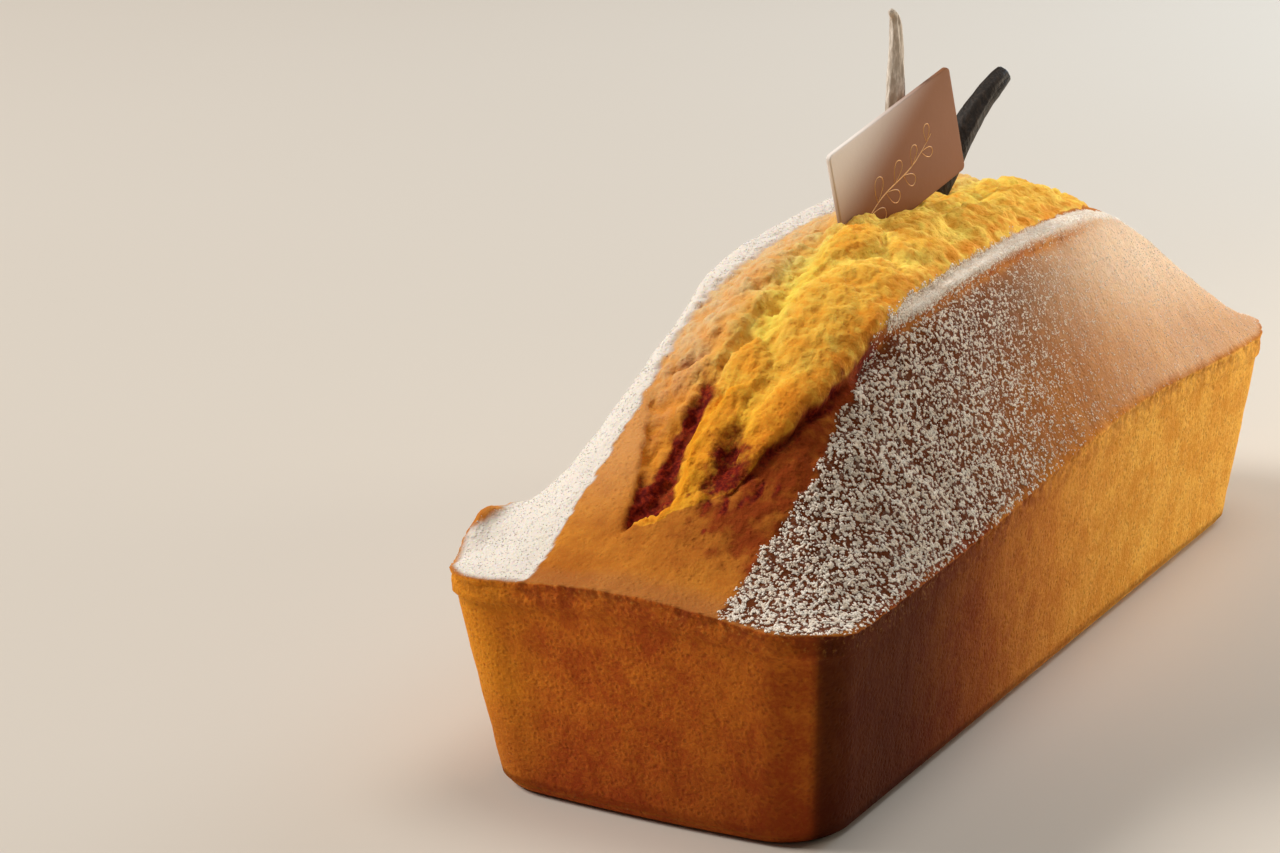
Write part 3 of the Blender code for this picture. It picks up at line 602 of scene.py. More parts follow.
def burst_height(x, y):
    """How far the burst crumb stands above the crust, or below it in the clefts."""
    inside, across = burst_inside(x, y)
    arch = np.sin(math.pi * np.clip(across, 0.0, 1.0))
    crown = stations(y, BURST_LIFT) * (BURST_EDGE_LIFT + (1.0 - BURST_EDGE_LIFT) * arch)
    lip = stations(y, LIP_STEP) * ease(across, *LIP_SHARE)
    crumb = CRUMB_HEIGHT * (crumb_tops(x, y, CRUMB_SIZE) - CRUMB_MIDDLE)
    torn = (lump_height(x, y) - LUMP_SINK + crumb) * ease(y, *CRUMB_Y)
    height = inside * (crown + lip + torn) - hollow_depth(x, y)
    for depth, half_width, route in FURROWS:
        height = height - depth * furrow_share(x, y, half_width, route)
    return height


def grid_lines(inner_shares):
    """Grid lines across one direction: (share of the straight part, share of the corner)."""
    corner = np.linspace(0.0, 1.0, CORNER_STEPS + 1)[1:]
    before = [(-1.0, -step) for step in corner[::-1]]
    return np.array(before + [(share, 0.0) for share in inner_shares] + [(1.0, step) for step in corner])


def plan(columns, rows, half_width, half_length, corner):
    """Places of the grid's crossings on a rectangle with rounded corners."""
    u, v = columns[:, 1][:, None], rows[:, 1][None, :]
    x = columns[:, 0][:, None] * (half_width - corner) + corner * u * np.sqrt(1.0 - v * v / 2.0)
    y = rows[:, 0][None, :] * (half_length - corner) + corner * v * np.sqrt(1.0 - u * u / 2.0)
    return np.broadcast_arrays(x, y)


def loaf_grid():
    """Grid lines of the baked top, closest together over the burst."""
    straight = HALF_WIDTH - RIM_CORNER
    flank = np.linspace(straight, BURST_HALF_WIDTH, FLANK_COLUMNS + 1)[:-1]
    middle = np.linspace(-BURST_HALF_WIDTH, BURST_HALF_WIDTH, round(2 * BURST_HALF_WIDTH / COLUMN_STEP) + 1)
    columns = grid_lines(np.concatenate((-flank, middle, flank[::-1])) / straight)
    rows = grid_lines(np.linspace(-1.0, 1.0, round(2 * (HALF_LENGTH - RIM_CORNER) / ROW_STEP) + 1))
    return columns, rows


def foot_outline(columns, rows):
    """Grid places on the base's outline, whose ends bulge a little in the middle."""
    x, y = plan(columns, rows, BASE_WIDTH / 2, BASE_LENGTH / 2, BASE_CORNER)
    bulge = BASE_END_BULGE * (1.0 - (2.0 * x / BASE_WIDTH) ** 2)
    return x, y + bulge * (rows[:, 1] * np.abs(rows[:, 1]))[None, :]


def grid_normals(points):
    """Direction out of the surface at each crossing of a grid."""
    across = np.gradient(points, axis=0)
    along = np.gradient(points, axis=1)
    normal = np.cross(across, along)
    return normal / np.linalg.norm(normal, axis=-1, keepdims=True)


def boundary(count_x, count_y):
    """Numbers of the grid's crossings on its outer edge, once round."""
    front = [(i, 0) for i in range(count_x - 1)]
    right = [(count_x - 1, j) for j in range(count_y - 1)]
    back = [(i, count_y - 1) for i in range(count_x - 1, 0, -1)]
    left = [(0, j) for j in range(count_y - 1, 0, -1)]
    return np.array(front + right + back + left)


def mesh_object(name, points, faces, finish, smooth=True):
    mesh = bpy.data.meshes.new(name)
    mesh.from_pydata(np.asarray(points).tolist(), [], faces)
    if smooth:
        mesh.shade_smooth()
    mesh.materials.append(finish)
    obj = bpy.data.objects.new(name, mesh)
    bpy.context.scene.collection.objects.link(obj)
    return obj


def store(mesh, name, values):
    """Keeps a number for each point of a mesh, for its material."""
    attribute = mesh.attributes.new(name, "FLOAT", "POINT")
    attribute.data.foreach_set("value", np.asarray(values, np.float32).ravel())


def rim_gap(x, y):
    """Distance of each place in from the rim's outline."""
    past_x = np.abs(x) - (HALF_WIDTH - RIM_CORNER)
    past_y = np.abs(y) - (HALF_LENGTH - RIM_CORNER)
    outside = np.hypot(np.maximum(past_x, 0.0), np.maximum(past_y, 0.0))
    return RIM_CORNER - outside - np.minimum(np.maximum(past_x, past_y), 0.0)


def crease_share(x, y):
    """The dark crease just past the ledge's edge, and how far past the edge each place is."""
    past = x - stations(y, LEDGE_X)
    return between(y, CREASE_Y), past


def sugar_cover(x, y, inside):
    """Where the sugar lies: 0 on the bare strip, the rim, the flap and the burst, else 1."""
    side = np.sign(x)
    ragged = BARE_EDGE_RAGGED * field(noise.noise, 0.2 * side, y, 0.0 * y, BARE_EDGE_SIZE)
    ragged += 0.5 * BARE_EDGE_RAGGED * field(noise.noise, side, y, 0.0 * y, 0.4 * BARE_EDGE_SIZE)
    edge = np.where(x < 0, stations(y, BARE_LEFT), stations(y, BARE_RIGHT))
    beyond = ease(np.abs(x) - edge - ragged, 0.0, BARE_EDGE_SOFT + HAZE_WIDTH * ease(y, *HAZE_Y) * (x < 0))
    wander = field(noise.noise, x, y, side, WANDER_SIZE)
    closer = RIM_CLOSER * ease(x, *RIM_CLOSER_X) * ease(y, *RIM_CLOSER_Y)
    clear = RIM_CLEAR * (1.0 - closer) + RIM_CLEAR_WANDER * wander
    off_rim = ease(rim_gap(x, y) - clear, -RIM_CLEAR_SOFT, RIM_CLEAR_SOFT)
    flap = flap_height(x, y) / (FLAP_EDGE[0] + FLAP_FOOT[0])
    off_flap = 1.0 - ease(flap + FLAP_WANDER * wander, *FLAP_CLEAR)
    off_burst = 1.0 - inside * (x > 0)
    crease, past = crease_share(x, y)
    off_crease = 1.0 - crease * (swell(past, CREASE_CLEAR[0]) + swell(past, CREASE_CLEAR[1]))
    sparse = 1.0 - SPARSE * ease(y, *SPARSE_Y) * ease(x, *SPARSE_X)
    return beyond * off_rim * off_flap * off_burst * off_crease * sparse


def scorch_and_shade_share(x, y, hollow, ridge):
    """Where the cake is darker: scorch and painted shade along the routes and in the hollow, a painted shadow
    under the lip, and painted shade in the crease.
    """
    scorch_and_shade = sum(dark * furrow_share(x, y, half_width, route) for route, half_width, dark in SCORCH_AND_SHADE)
    scorch_and_shade = scorch_and_shade + hollow * (HOLLOW_SCORCH_AND_SHADE[0] + HOLLOW_SCORCH_AND_SHADE[1] * (1.0 - ease(y, *HOLLOW_SCORCH_AND_SHADE_Y)))
    # Painted shadow under the lip
    lip_shadow = swell(x - stations(y, BURST_RIGHT), LIP_SHADOW) * between(y, LIP_SHADOW_Y)
    crease, past = crease_share(x, y)
    # Painted shade in the crease past the ledge
    shade = crease * swell(past, CREASE_SHADE)
    return np.clip(np.maximum(np.maximum(scorch_and_shade - RIDGE_CLEAR * ridge, lip_shadow), shade), 0.0, 1.0)


def top_masks(x, y, inside):
    """What the cake's material reads at each place of the top, each from 0 to 1."""
    hollow = np.clip(hollow_depth(x, y) / HOLLOW_FULL, 0.0, 1.0)
    past_lip = x - stations(y, BURST_RIGHT)
    within = step_up(x - stations(y, BURST_LEFT), TORN_EDGES[0]) * step_up(-past_lip, TORN_EDGES[1])
    torn = np.maximum(within * between(y, TORN_Y), hollow)
    lump = np.clip(lump_height(x, y) / LUMP_FULL, 0.0, 1.0)
    routes = (VALLEY[2], BACK_VALLEY[2])
    spreads = zip(VALLEY_SPREADS, routes)
    valley = sum(share * furrow_share(x, y, width, route) for (width, share), route in spreads)
    ridge = furrow_share(x, y, RIDGE_SPREAD, TORN_RIDGE[2])
    strip = step_up(stations(y, LEDGE_X) - x, STRIP_EDGE) * (x > 0) * (1.0 - inside) * ease(y, *STRIP_Y)
    return {
        "torn": torn,
        "fresh": np.clip(valley + 0.4 * (1.0 - lump) - 0.25, 0.0, 1.0) * torn,
        "ridge": ridge,
        "toast": lump * torn * (1.0 - ridge),
        "charred": scorch_and_shade_share(x, y, hollow, ridge),
        "sugar": sugar_cover(x, y, inside),
        "closed": np.where(x < 0, 1.0, strip),
        "left": ease(-x, *LEFT_X),
        "pale": ease(-x, *PALE_X) * ease(y, *PALE_Y),
        "lip": inside * hump(past_lip, *LIP_BAND),
        "near": 1.0 - ease(y, *NEAR_Y),
        "ruddy": ease(x, *RUDDY_X) * between(y, RUDDY_Y) * (1.0 - inside),
        "brim": 1.0 - ease(y + HALF_LENGTH, *DUSTY_FRONT),
        "far": ease(y, *FAR_LIGHT_Y),
    }


def crumb(place):
    """One rounded crumb around each cell's middle, above and below zero."""
    return CRUMB_ABOVE - CRUMB_FALL * nearest_middle(place) ** 2


def crumb_relief(x, y, z, masks):
    """Rounded crumbs of two sizes and finer noise, coarsest on the left and in the clefts."""
    shift = [CRUMB_SHIFT * field(noise.noise, x + turn, y, z, CRUMB_SHIFT_SIZE) for turn in (0.0, 0.1, 0.2)]
    place = (x + shift[0], y + shift[1], z + shift[2])
    uneven = np.clip(masks["left"] + masks["charred"] + 0.6 * masks["fresh"], 0.0, 1.0)
    coarse = CRUMB_COARSE + (1.0 - CRUMB_COARSE) * uneven
    large, small = [height * field(crumb, *place, size) for height, size in TORN_RELIEF[:2]]
    crumbs = coarse * large + small
    # Painted shade: low places between crumbs, for a darker orange in the material
    masks["gap"] = np.clip(CRUMB_GAP_SHADE[0] - CRUMB_GAP_SHADE[1] * crumbs / TORN_RELIEF[1][0], 0.0, 1.0)
    return crumbs + relief(noise.noise, x, y, z, TORN_RELIEF[2:])


def lean_lip(points, x, y, z):
    """Leans the burst's lip out over the crust, and tucks the crust in under it."""
    past = x - stations(y, BURST_RIGHT)
    middle, swing, size = LIP_RAGGED
    lean = stations(y, LIP_STEP) * (middle + swing * field(noise.noise, x, y, z, size))
    points[..., 0] += lean * hump(past, *LIP_LEAN)
    points[..., 0] -= LIP_TUCK * lean * hump(past, *LIP_TUCK_IN)
    points[..., 2] -= LIP_TUCK * lean * hump(past, *LIP_TUCK_DOWN)


def raise_ledge(points, x, y):
    """Raises the ledge's edge, leans it out and pulls in the crease past it."""
    crease, past = crease_share(x, y)
    points[..., 0] += LEDGE_LEAN * crease * (hump(past, *CREASE_TUCK[0]) - hump(past, *CREASE_TUCK[1]))
    fading = np.exp(np.minimum(past, 0.0) / CREST_FADE)
    points[..., 2] += LEDGE_CREST * crease * fading * step_up(-past, CREST_EDGE)


def top_surface(columns, rows):
    """The baked top: places, the same without fine relief, and the masks of its material."""
    x, y = plan(columns, rows, HALF_WIDTH, HALF_LENGTH, RIM_CORNER)
    z = crust_height(x, y) + flap_height(x, y) + ledge_height(x, y) + burst_height(x, y)
    masks = top_masks(x, y, burst_inside(x, y)[0])
    plain = np.stack([x, y, z], axis=-1)
    crust = relief(noise.noise, x, y, z, SKIN_RELIEF) * (1.0 + 2.0 * masks["ruddy"])
    torn = masks["torn"]
    out = torn * crumb_relief(x, y, z, masks) + (1.0 - torn) * crust
    points = plain + grid_normals(plain) * out[..., None]
    lean_lip(points, x, y, z)
    raise_ledge(points, x, y)
    return points, plain, masks


def wall_rings():
    """Rings down the wall: share of the way up to the rim, height in the fillet, and inset."""
    rings = [(1.0, -drop, inset) for drop, inset in RIM_RINGS]
    for step in range(WALL_STEPS, 0, -1):
        rings.append((WALL_TOP_SHARE * step / WALL_STEPS, 0.0, RIM_OVERHANG))
    for step in range(FILLET_STEPS + 1):
        turn = math.pi / 2 * step / FILLET_STEPS
        inset = RIM_OVERHANG + BASE_FILLET * (1.0 - math.cos(turn))
        rings.append((0.0, BASE_FILLET * (1.0 - math.sin(turn)), inset))
    return rings


def wall_ring(rim, crisp, foot, out, ring_shape):
    """One ring of the wall, and how near it is to the rim, from 0 to 1."""
    share, raised, inset = ring_shape
    ring = foot + (rim - foot) * share
    ring[:, 2] += raised
    below = rim[:, 2] - ring[:, 2]
    brim = np.clip(1.0 - below / BRIM_DEPTH, 0.0, 1.0)
    push = -inset * np.ones(len(rim))
    if ring[0, 2] > BASE_FILLET:
        push += WALL_UNEVENNESS * share * field(noise.noise, *ring.T, WALL_UNEVENNESS_SIZE)
        push += relief(noise.noise, *ring.T, WALL_RELIEF)
        push += RIM_RELIEF * brim * field(noise.noise, *ring.T, RIM_RELIEF_SIZE)
    return ring + out * push[:, None] + crisp * np.clip(1.0 - below / CRISP_DEPTH, 0.0, 1.0)[:, None], brim


def wall_shade(wall, out):
    """Painted shade on the right wall near the front, and a little at the right of the front."""
    x, y, z = wall.T
    ragged, size = WALL_SHADE_RAGGED
    turned = out[:, 0] + out[:, 1] + ragged * field(noise.noise, x, y, z, size)
    right = step_up(turned, WALL_SHADE_EDGE) * (1.0 - ease(y, *WALL_SHADE_Y))
    return np.maximum(right, FRONT_SHADE * ease(x, *FRONT_SHADE_X) * (1.0 - ease(y, *FRONT_SHADE_Y)))


def outward(columns, rows, edge):
    """Level direction away from the loaf at each place of its outline."""
    out = np.stack(plan(columns * [0, 1], rows * [0, 1], 1.0, 1.0, 1.0), axis=-1)[edge]
    return np.column_stack((out / np.linalg.norm(out, axis=-1, keepdims=True), np.zeros(len(out))))


def store_masks(loaf, masks, wall, brims, out):
    """Stores what the cake's material reads, on the top's places and then the wall's."""
    below = {
        "wall": np.ones(len(wall)),
        "brim": np.concatenate(brims),
        "far": ease(wall[:, 1], *WALL_FAR_LIGHT_Y),
        "low": 1.0 - ease(wall[:, 2], *WALL_LOW_Z),
        "left": 1.0 - ease(wall[:, 0], *WALL_LEFT_X),
        "shaded": wall_shade(wall, np.tile(out, (len(brims), 1))),
    }
    for name in sorted(set(masks) | set(below)):
        values = masks.get(name, np.zeros(masks["torn"].shape)).ravel()
        store(loaf.data, name, np.concatenate((values, below.get(name, np.zeros(len(wall))))))


def make_loaf(finish):
    """The baked top on its grid, and the wall in rings from the rim down to the base."""
    columns, rows = loaf_grid()
    top, plain, masks = top_surface(columns, rows)
    count_x, count_y = len(columns), len(rows)
    edge = tuple(boundary(count_x, count_y).T)
    out = outward(columns, rows, edge)
    rim = plain[edge]
    jagged = relief(noise.noise, *rim.T, RIM_JAGS)
    top[edge] = top[edge] + out * (RIM_JAG_OUT * jagged)[:, None] + np.outer(RIM_JAG_UP * jagged, (0, 0, 1))
    crisp = top[edge] - rim
    number = np.arange(count_x * count_y).reshape(count_x, count_y)
    quads = np.stack((number[:-1, :-1], number[1:, :-1], number[1:, 1:], number[:-1, 1:]), axis=-1)
    faces = quads.reshape(-1, 4).tolist()
    foot = np.stack(foot_outline(columns, rows), axis=-1)[edge]
    foot = np.column_stack((foot, np.zeros(len(foot))))
    points, brims = [top.reshape(-1, 3)], []
    above, total = number[edge], count_x * count_y
    following = np.roll(np.arange(len(rim)), -1)
    for ring_shape in wall_rings():
        ring, brim = wall_ring(rim, crisp, foot, out, ring_shape)
        here = np.arange(total, total + len(ring))
        faces += np.stack((above, here, here[following], above[following]), axis=-1).tolist()
        points.append(ring)
        brims.append(brim)
        above = here
        total += len(ring)
    faces.append(above[::-1].tolist())
    points = np.concatenate(points)
    loaf = mesh_object("loaf", points, faces, finish)
    store_masks(loaf, masks, points[count_x * count_y:], brims, out)
    return loaf, top, masks


def tone(red, green, blue):
    """A colour given as 0 to 255, in the linear values that shaders take."""
    return tuple(((channel / 255 + 0.055) / 1.055) ** 2.4 for channel in (red, green, blue))


class Signal:
    """A value in a material's nodes, which takes part in sums."""

    def __init__(self, skin, socket):
        self.skin = skin
        self.socket = socket

    def __add__(self, other):
        return self.skin.math("ADD", self, other)

    def __sub__(self, other):
        return self.skin.math("SUBTRACT", self, other)

    def __rsub__(self, other):
        return self.skin.math("SUBTRACT", other, self)

    def __mul__(self, other):
        return self.skin.math("MULTIPLY", self, other)

    def __pow__(self, other):
        return self.skin.math("POWER", self, other)

    def spread(self, low, high):
        """Stretches a value between two limits to the range 0 to 1."""
        inputs = {"Value": self, "From Min": low, "From Max": high}
        return self.skin.add("ShaderNodeMapRange", "Result", inputs, interpolation_type="SMOOTHSTEP")


class Skin:
    """A material, and short ways to add the nodes that it is made of."""

    def __init__(self, name):
        self.material = bpy.data.materials.new(name)
        self.material.use_nodes = True
        self.tree = self.material.node_tree
        self.place = self.add("ShaderNodeTexCoord", "Object")

    def put(self, socket, value):
        """Links a signal to a socket, or sets the socket to a plain value."""
        if isinstance(value, Signal):
            self.tree.links.new(value.socket, socket)
        elif socket.type == "RGBA":
            socket.default_value = (*value, 1.0)
        else:
            socket.default_value = value

    def add(self, kind, result, inputs=None, **settings):
        """A node with its settings and inputs, as the signal of one of its outputs."""
        node = self.tree.nodes.new(kind)
        for name, value in settings.items():
            setattr(node, name, value)
        for name, value in (inputs or {}).items():
            self.put(node.inputs[name], value)
        return Signal(self, node.outputs[result])

    def math(self, operation, first, second):
        return self.add("ShaderNodeMath", "Value", {0: first, 1: second}, operation=operation)

    def mask(self, name):
        return self.add("ShaderNodeAttribute", "Fac", attribute_name=name)

    def grain(self, size, detail=3.0, roughness=0.55, place=None):
        """Noise with features of a size."""
        inputs = {"Vector": place or self.place, "Scale": 1.0 / size}
        return self.add("ShaderNodeTexNoise", "Fac", {**inputs, "Detail": detail, "Roughness": roughness})

    def blend(self, share, first, second):
        """Mix of two colours."""
        return self.add("ShaderNodeMix", 2, {0: share, 6: first, 7: second}, data_type="RGBA")

    def painted(self, colour, coats):
        """A colour under coats of others, each a share and a colour."""
        for share, over in coats:
            colour = self.blend(share, colour, over)
        return colour

    def bump(self, height, distance, strength=1.0):
        inputs = {"Height": height, "Distance": distance, "Strength": strength}
        return self.add("ShaderNodeBump", "Normal", inputs)

    def finished(self, looks):
        """The material, with these inputs of its shader."""
        for name, value in looks.items():
            self.put(self.tree.nodes["Principled BSDF"].inputs[name], value)
        return self.material


def wall_colour(skin, noises):
    """Crust against the tin: orange-brown with darker dots, and pits and crumbs by the rim. Painted light
    makes it golden on the left of the front and paler gold towards the far end; painted shade darkens the
    right wall near the front.
    """
    mottle = noises.big * 0.4 + noises.middle * 0.3 + noises.fine * 0.3
    far, brim = skin.mask("far"), skin.mask("brim")
    # Painted light from behind: paler gold towards the far end
    deep = skin.blend(far, tone(174, 77, 26), tone(214, 144, 50))
    light = skin.blend(far, tone(213, 119, 37), tone(238, 180, 80))
    # Painted light from the left: golden patches towards the left of the front
    golden = skin.mask("left") + (noises.big - 0.5) * 0.7
    return skin.painted(skin.blend(mottle.spread(0.38, 0.62), deep, light), (
        (golden.spread(0.10, 0.95) * 0.75, tone(226, 146, 34)),
        (skin.mask("low") * (1.0 - far) * 0.45, tone(138, 48, 22)),
        (noises.dots * 0.30, tone(112, 44, 16)),
        # Painted shade: the right wall near the front and the right of the front
        (skin.mask("shaded") * 0.90, tone(60, 20, 6)),
        (brim * noises.middle.spread(0.58, 0.40) * 0.50, tone(96, 40, 18)),
        (noises.fine.spread(0.58, 0.68) * brim * 0.32, tone(214, 156, 80)),
    ))


def crust_colour(skin, noises):
    """Bare crust of the top: paler on the left as painted light, redder on the right, dusty along the front
    rim.
    """
    mottle = noises.big * 0.6 + noises.middle * 0.4
    ruddy = skin.mask("ruddy") + ((noises.middle - 0.5) + (noises.patch - 0.5)) * 1.8
    dusty = skin.mask("brim") + (noises.big - 0.5) * 0.8
    return skin.painted(skin.blend(mottle.spread(0.36, 0.64), tone(170, 98, 30), tone(196, 124, 42)), (
        # Painted light from the left: paler crust there
        (skin.mask("pale") * 0.65, tone(220, 160, 98)),
        (ruddy.spread(0.15, 1.20), tone(132, 54, 12)),
        (noises.dots * 0.14, tone(120, 52, 18)),
        (dusty.spread(0.15, 1.10) * 0.60, tone(158, 98, 54)),
    ))


def crumb_colour(skin, noises):
    """Torn crumb: yellow where it is fresh, orange where it has browned, tan on the left and paler there as
    painted light, with painted shade in the gaps between crumbs.
    """
    uneven = noises.middle - 0.5
    browned = (skin.mask("toast") + uneven * 1.6 + (noises.big - 0.5) * 0.8).spread(0.10, 1.30)
    fresh = (skin.mask("fresh") + uneven * 0.8).spread(0.10, 0.90)
    near = skin.mask("near")
    golden = skin.blend(browned, tone(238, 172, 34), tone(224, 138, 30))
    left_tone = skin.blend(near, tone(206, 175, 134), tone(196, 122, 52))
    # Painted shade in the gaps between crumbs, over fine darker noise
    gaps = skin.math("MAXIMUM", noises.fine.spread(0.48, 0.34) * 0.30, skin.mask("gap") * 0.55)
    return skin.painted(skin.blend(browned, tone(238, 208, 96), tone(220, 168, 62)), (
        (noises.patch.spread(0.52, 0.66) * 0.55, tone(226, 146, 44)),
        (fresh, tone(226, 204, 84)),
        (near * 0.85, golden),
        # Tan on the left, paler further back as painted light from the left
        (skin.mask("left") * 0.90, left_tone),
        (skin.mask("ridge") * 0.85, tone(218, 136, 16)),
        (skin.mask("lip") * noises.middle.spread(0.30, 0.60) * 0.8, tone(216, 124, 32)),
        (gaps, tone(214, 134, 30)),
        (noises.dots * 0.12, tone(150, 66, 18)),
    ))


def sugar_layer(skin, noises, colour):
    """The finest sugar over a colour: a closed layer on the left, thin and patchy on the right, over crust
    painted darker at the front as shade and paler at the far end as light, with its powder painted whiter on
    the right and greyer on the left.
    """
    cover, far, left = skin.mask("sugar"), skin.mask("far"), skin.mask("left")
    # Painted shade and light: the crust under the sugar is darker at the front and paler at the far end
    under = skin.blend(far ** 2.0, tone(98, 48, 20), tone(208, 154, 92))
    patchy = (noises.fine + (noises.middle - 0.5) * 0.8).spread(0.52, 0.68)
    speckled = (noises.fine.spread(0.38, 0.50) + left).spread(-0.9, 1.0)
    closed = skin.mask("closed") * (speckled * 0.96)
    # A white haze of fine sugar towards the far end, made paler as painted light from behind
    white = skin.math("MAXIMUM", patchy * 0.10 + far ** 3.0 * 0.38, closed) * cover
    # Painted light and shade: the powder is whiter on the shaded right and greyer on the lit left
    powder = skin.blend(left, tone(250, 242, 230), tone(226, 218, 208))
    return skin.painted(colour, ((cover, under), (white, powder)))


def cake_noises(skin):
    """The noises that the cake's colours share, from the largest features to the smallest."""
    big = skin.grain(0.015)
    middle = skin.grain(0.0032, detail=4.0, roughness=0.6)
    fine = skin.grain(0.0009, roughness=0.6)
    inputs = {"Vector": skin.place, "Scale": 850.0, "Randomness": 1.0}
    cells = skin.add("ShaderNodeTexVoronoi", "Distance", inputs)
    dots = cells.spread(0.52, 0.16) * middle.spread(0.35, 0.60)
    elsewhere = skin.add("ShaderNodeVectorMath", 0, {0: skin.place, 1: (0.3, 0.3, 0.3)})
    patch = skin.grain(0.006, detail=2.0, place=elsewhere)
    return SimpleNamespace(big=big, middle=middle, fine=fine, dots=dots, patch=patch)


def cake_material():
    """Baked wall, crust and torn crumb, with clefts darkened by char and painted shade, painted light and
    shade on the wall, and the finest sugar.
    """
    skin = Skin("cake")
    noises = cake_noises(skin)
    uneven = noises.middle - 0.5
    torn = (skin.mask("torn") + uneven * 0.5).spread(0.30, 0.60)
    # Scorch and painted shade in the clefts and the hollow, a painted shadow under the lip and painted shade
    # in the crease
    charred = (skin.mask("charred") + uneven * 1.3).spread(0.22, 0.92)
    burnt_and_shade = skin.blend(noises.fine.spread(0.42, 0.62), tone(92, 16, 10), tone(130, 36, 14))
    burnt_and_shade = skin.blend(noises.patch.spread(0.52, 0.66) * 0.35, burnt_and_shade, tone(166, 80, 24))
    colour = skin.blend(skin.mask("wall"), crust_colour(skin, noises), wall_colour(skin, noises))
    colour = skin.painted(colour, ((torn, crumb_colour(skin, noises)), (charred, burnt_and_shade)))
    height = noises.middle * 0.7 + noises.fine * 0.85 - noises.dots * 0.35
    return skin.finished({
        "Base Color": sugar_layer(skin, noises, colour),
        "Normal": skin.bump(height, distance=0.00040, strength=0.9),
        "Roughness": 0.80,
        "Specular IOR Level": 0.07,
        "Subsurface Weight": 0.22,
        "Subsurface Radius": (1.0, 0.45, 0.15),
        "Subsurface Scale": 0.0024,
    })


def sugar_material(name, dark, light):
    """Matt grains that let a little light through."""
    skin = Skin(name)
    return skin.finished({
        "Base Color": skin.blend(skin.grain(0.0012).spread(0.35, 0.65), dark, light),
        "Normal": skin.bump(skin.grain(0.0003), distance=0.00006),
        "Roughness": 0.85,
        "Specular IOR Level": 0.3,
        "Subsurface Weight": 0.3,
        "Subsurface Radius": (1.0, 1.0, 1.0),
        "Subsurface Scale": 0.0006,
    })


def chocolate_material():
    """Smooth milk chocolate, with a painted sheen that pales it towards its upper front corner."""
    skin = Skin("chocolate")
    y, z = [skin.add("ShaderNodeSeparateXYZ", axis, {"Vector": skin.place}) for axis in "YZ"]
    # Painted sheen: paler towards the upper front corner
    painted_sheen = (y - z * 1.1).spread(-0.120, -0.148)
    colour = skin.blend(skin.grain(0.006) * 0.30, tone(130, 84, 55), tone(144, 96, 66))
    return skin.finished({
        "Base Color": skin.blend(painted_sheen * 0.95, colour, tone(236, 228, 222)),
        "Normal": skin.bump(skin.grain(0.0012), distance=0.00003),
        "Roughness": 0.55,
        "Specular IOR Level": 0.10,
    })


def gold_material():
    """Matt gold paint, a little uneven."""
    skin = Skin("gold")
    light = tone(238, 184, 112)
    dark = tuple(0.82 * channel for channel in light)
    return skin.finished({
        "Base Color": skin.blend(skin.grain(0.002).spread(0.35, 0.65), dark, light),
        "Roughness": 0.45,
    })


def pod_material(name, dark, light, roughness):
    """Shrivelled skin with streaks along the pod."""
    skin = Skin(name)
    shrunk = {0: skin.place, 1: (1.0, 1.0, 0.22)}
    along = skin.add("ShaderNodeVectorMath", 0, shrunk, operation="MULTIPLY")
    streak = skin.grain(0.0008, detail=4.0, roughness=0.6, place=along)
    return skin.finished({
        "Base Color": skin.blend(streak.spread(0.42, 0.70), dark, light),
        "Normal": skin.bump(streak + skin.grain(0.0004) * 0.3, distance=0.0004, strength=0.8),
        "Roughness": roughness,
        "Specular IOR Level": 0.25,
    })


def floor_material():
    skin = Skin("floor")
    pale = skin.blend(skin.grain(0.6), tone(199, 190, 179), tone(204, 196, 186))
    return skin.finished({"Base Color": pale, "Roughness": 0.6})


def clumps(name, places, normals, radii, finish, seed):
    """Small irregular eight-sided grains, each seated in the surface under it."""
    draw = np.random.default_rng(seed)
    count = len(places)
    shape = np.array([(1, 0, 0), (0, 1, 0), (-1, 0, 0), (0, -1, 0), (0, 0, 1), (0, 0, -0.6)], float)
    sides = np.array([(0, 1, 4), (1, 2, 4), (2, 3, 4), (3, 0, 4), (1, 0, 5), (2, 1, 5), (3, 2, 5), (0, 3, 5)])
    turn = draw.uniform(0.0, 2.0 * math.pi, count)
    across = np.cross(normals, (0.3, 0.9, 0.2))
    across = across / np.linalg.norm(across, axis=1, keepdims=True)
    along = np.cross(normals, across)
    first = across * np.cos(turn)[:, None] + along * np.sin(turn)[:, None]
    second = np.cross(normals, first)
    stretch = draw.uniform(*GRAIN_STRETCH, (count, 6, 1))
    body = shape[None] * stretch * radii[:, None, None]
    flat = draw.uniform(*GRAIN_FLATNESS, (count, 1, 1))
    points = (
        places[:, None, :]
        + body[..., 0:1] * first[:, None, :]
        + body[..., 1:2] * second[:, None, :]
        + (body[..., 2:3] * flat + GRAIN_LIFT * radii[:, None, None]) * normals[:, None, :]
    )
    faces = (sides[None] + 6 * np.arange(count)[:, None, None]).reshape(-1, 3)
    return mesh_object(name, points.reshape(-1, 3), faces.tolist(), finish)


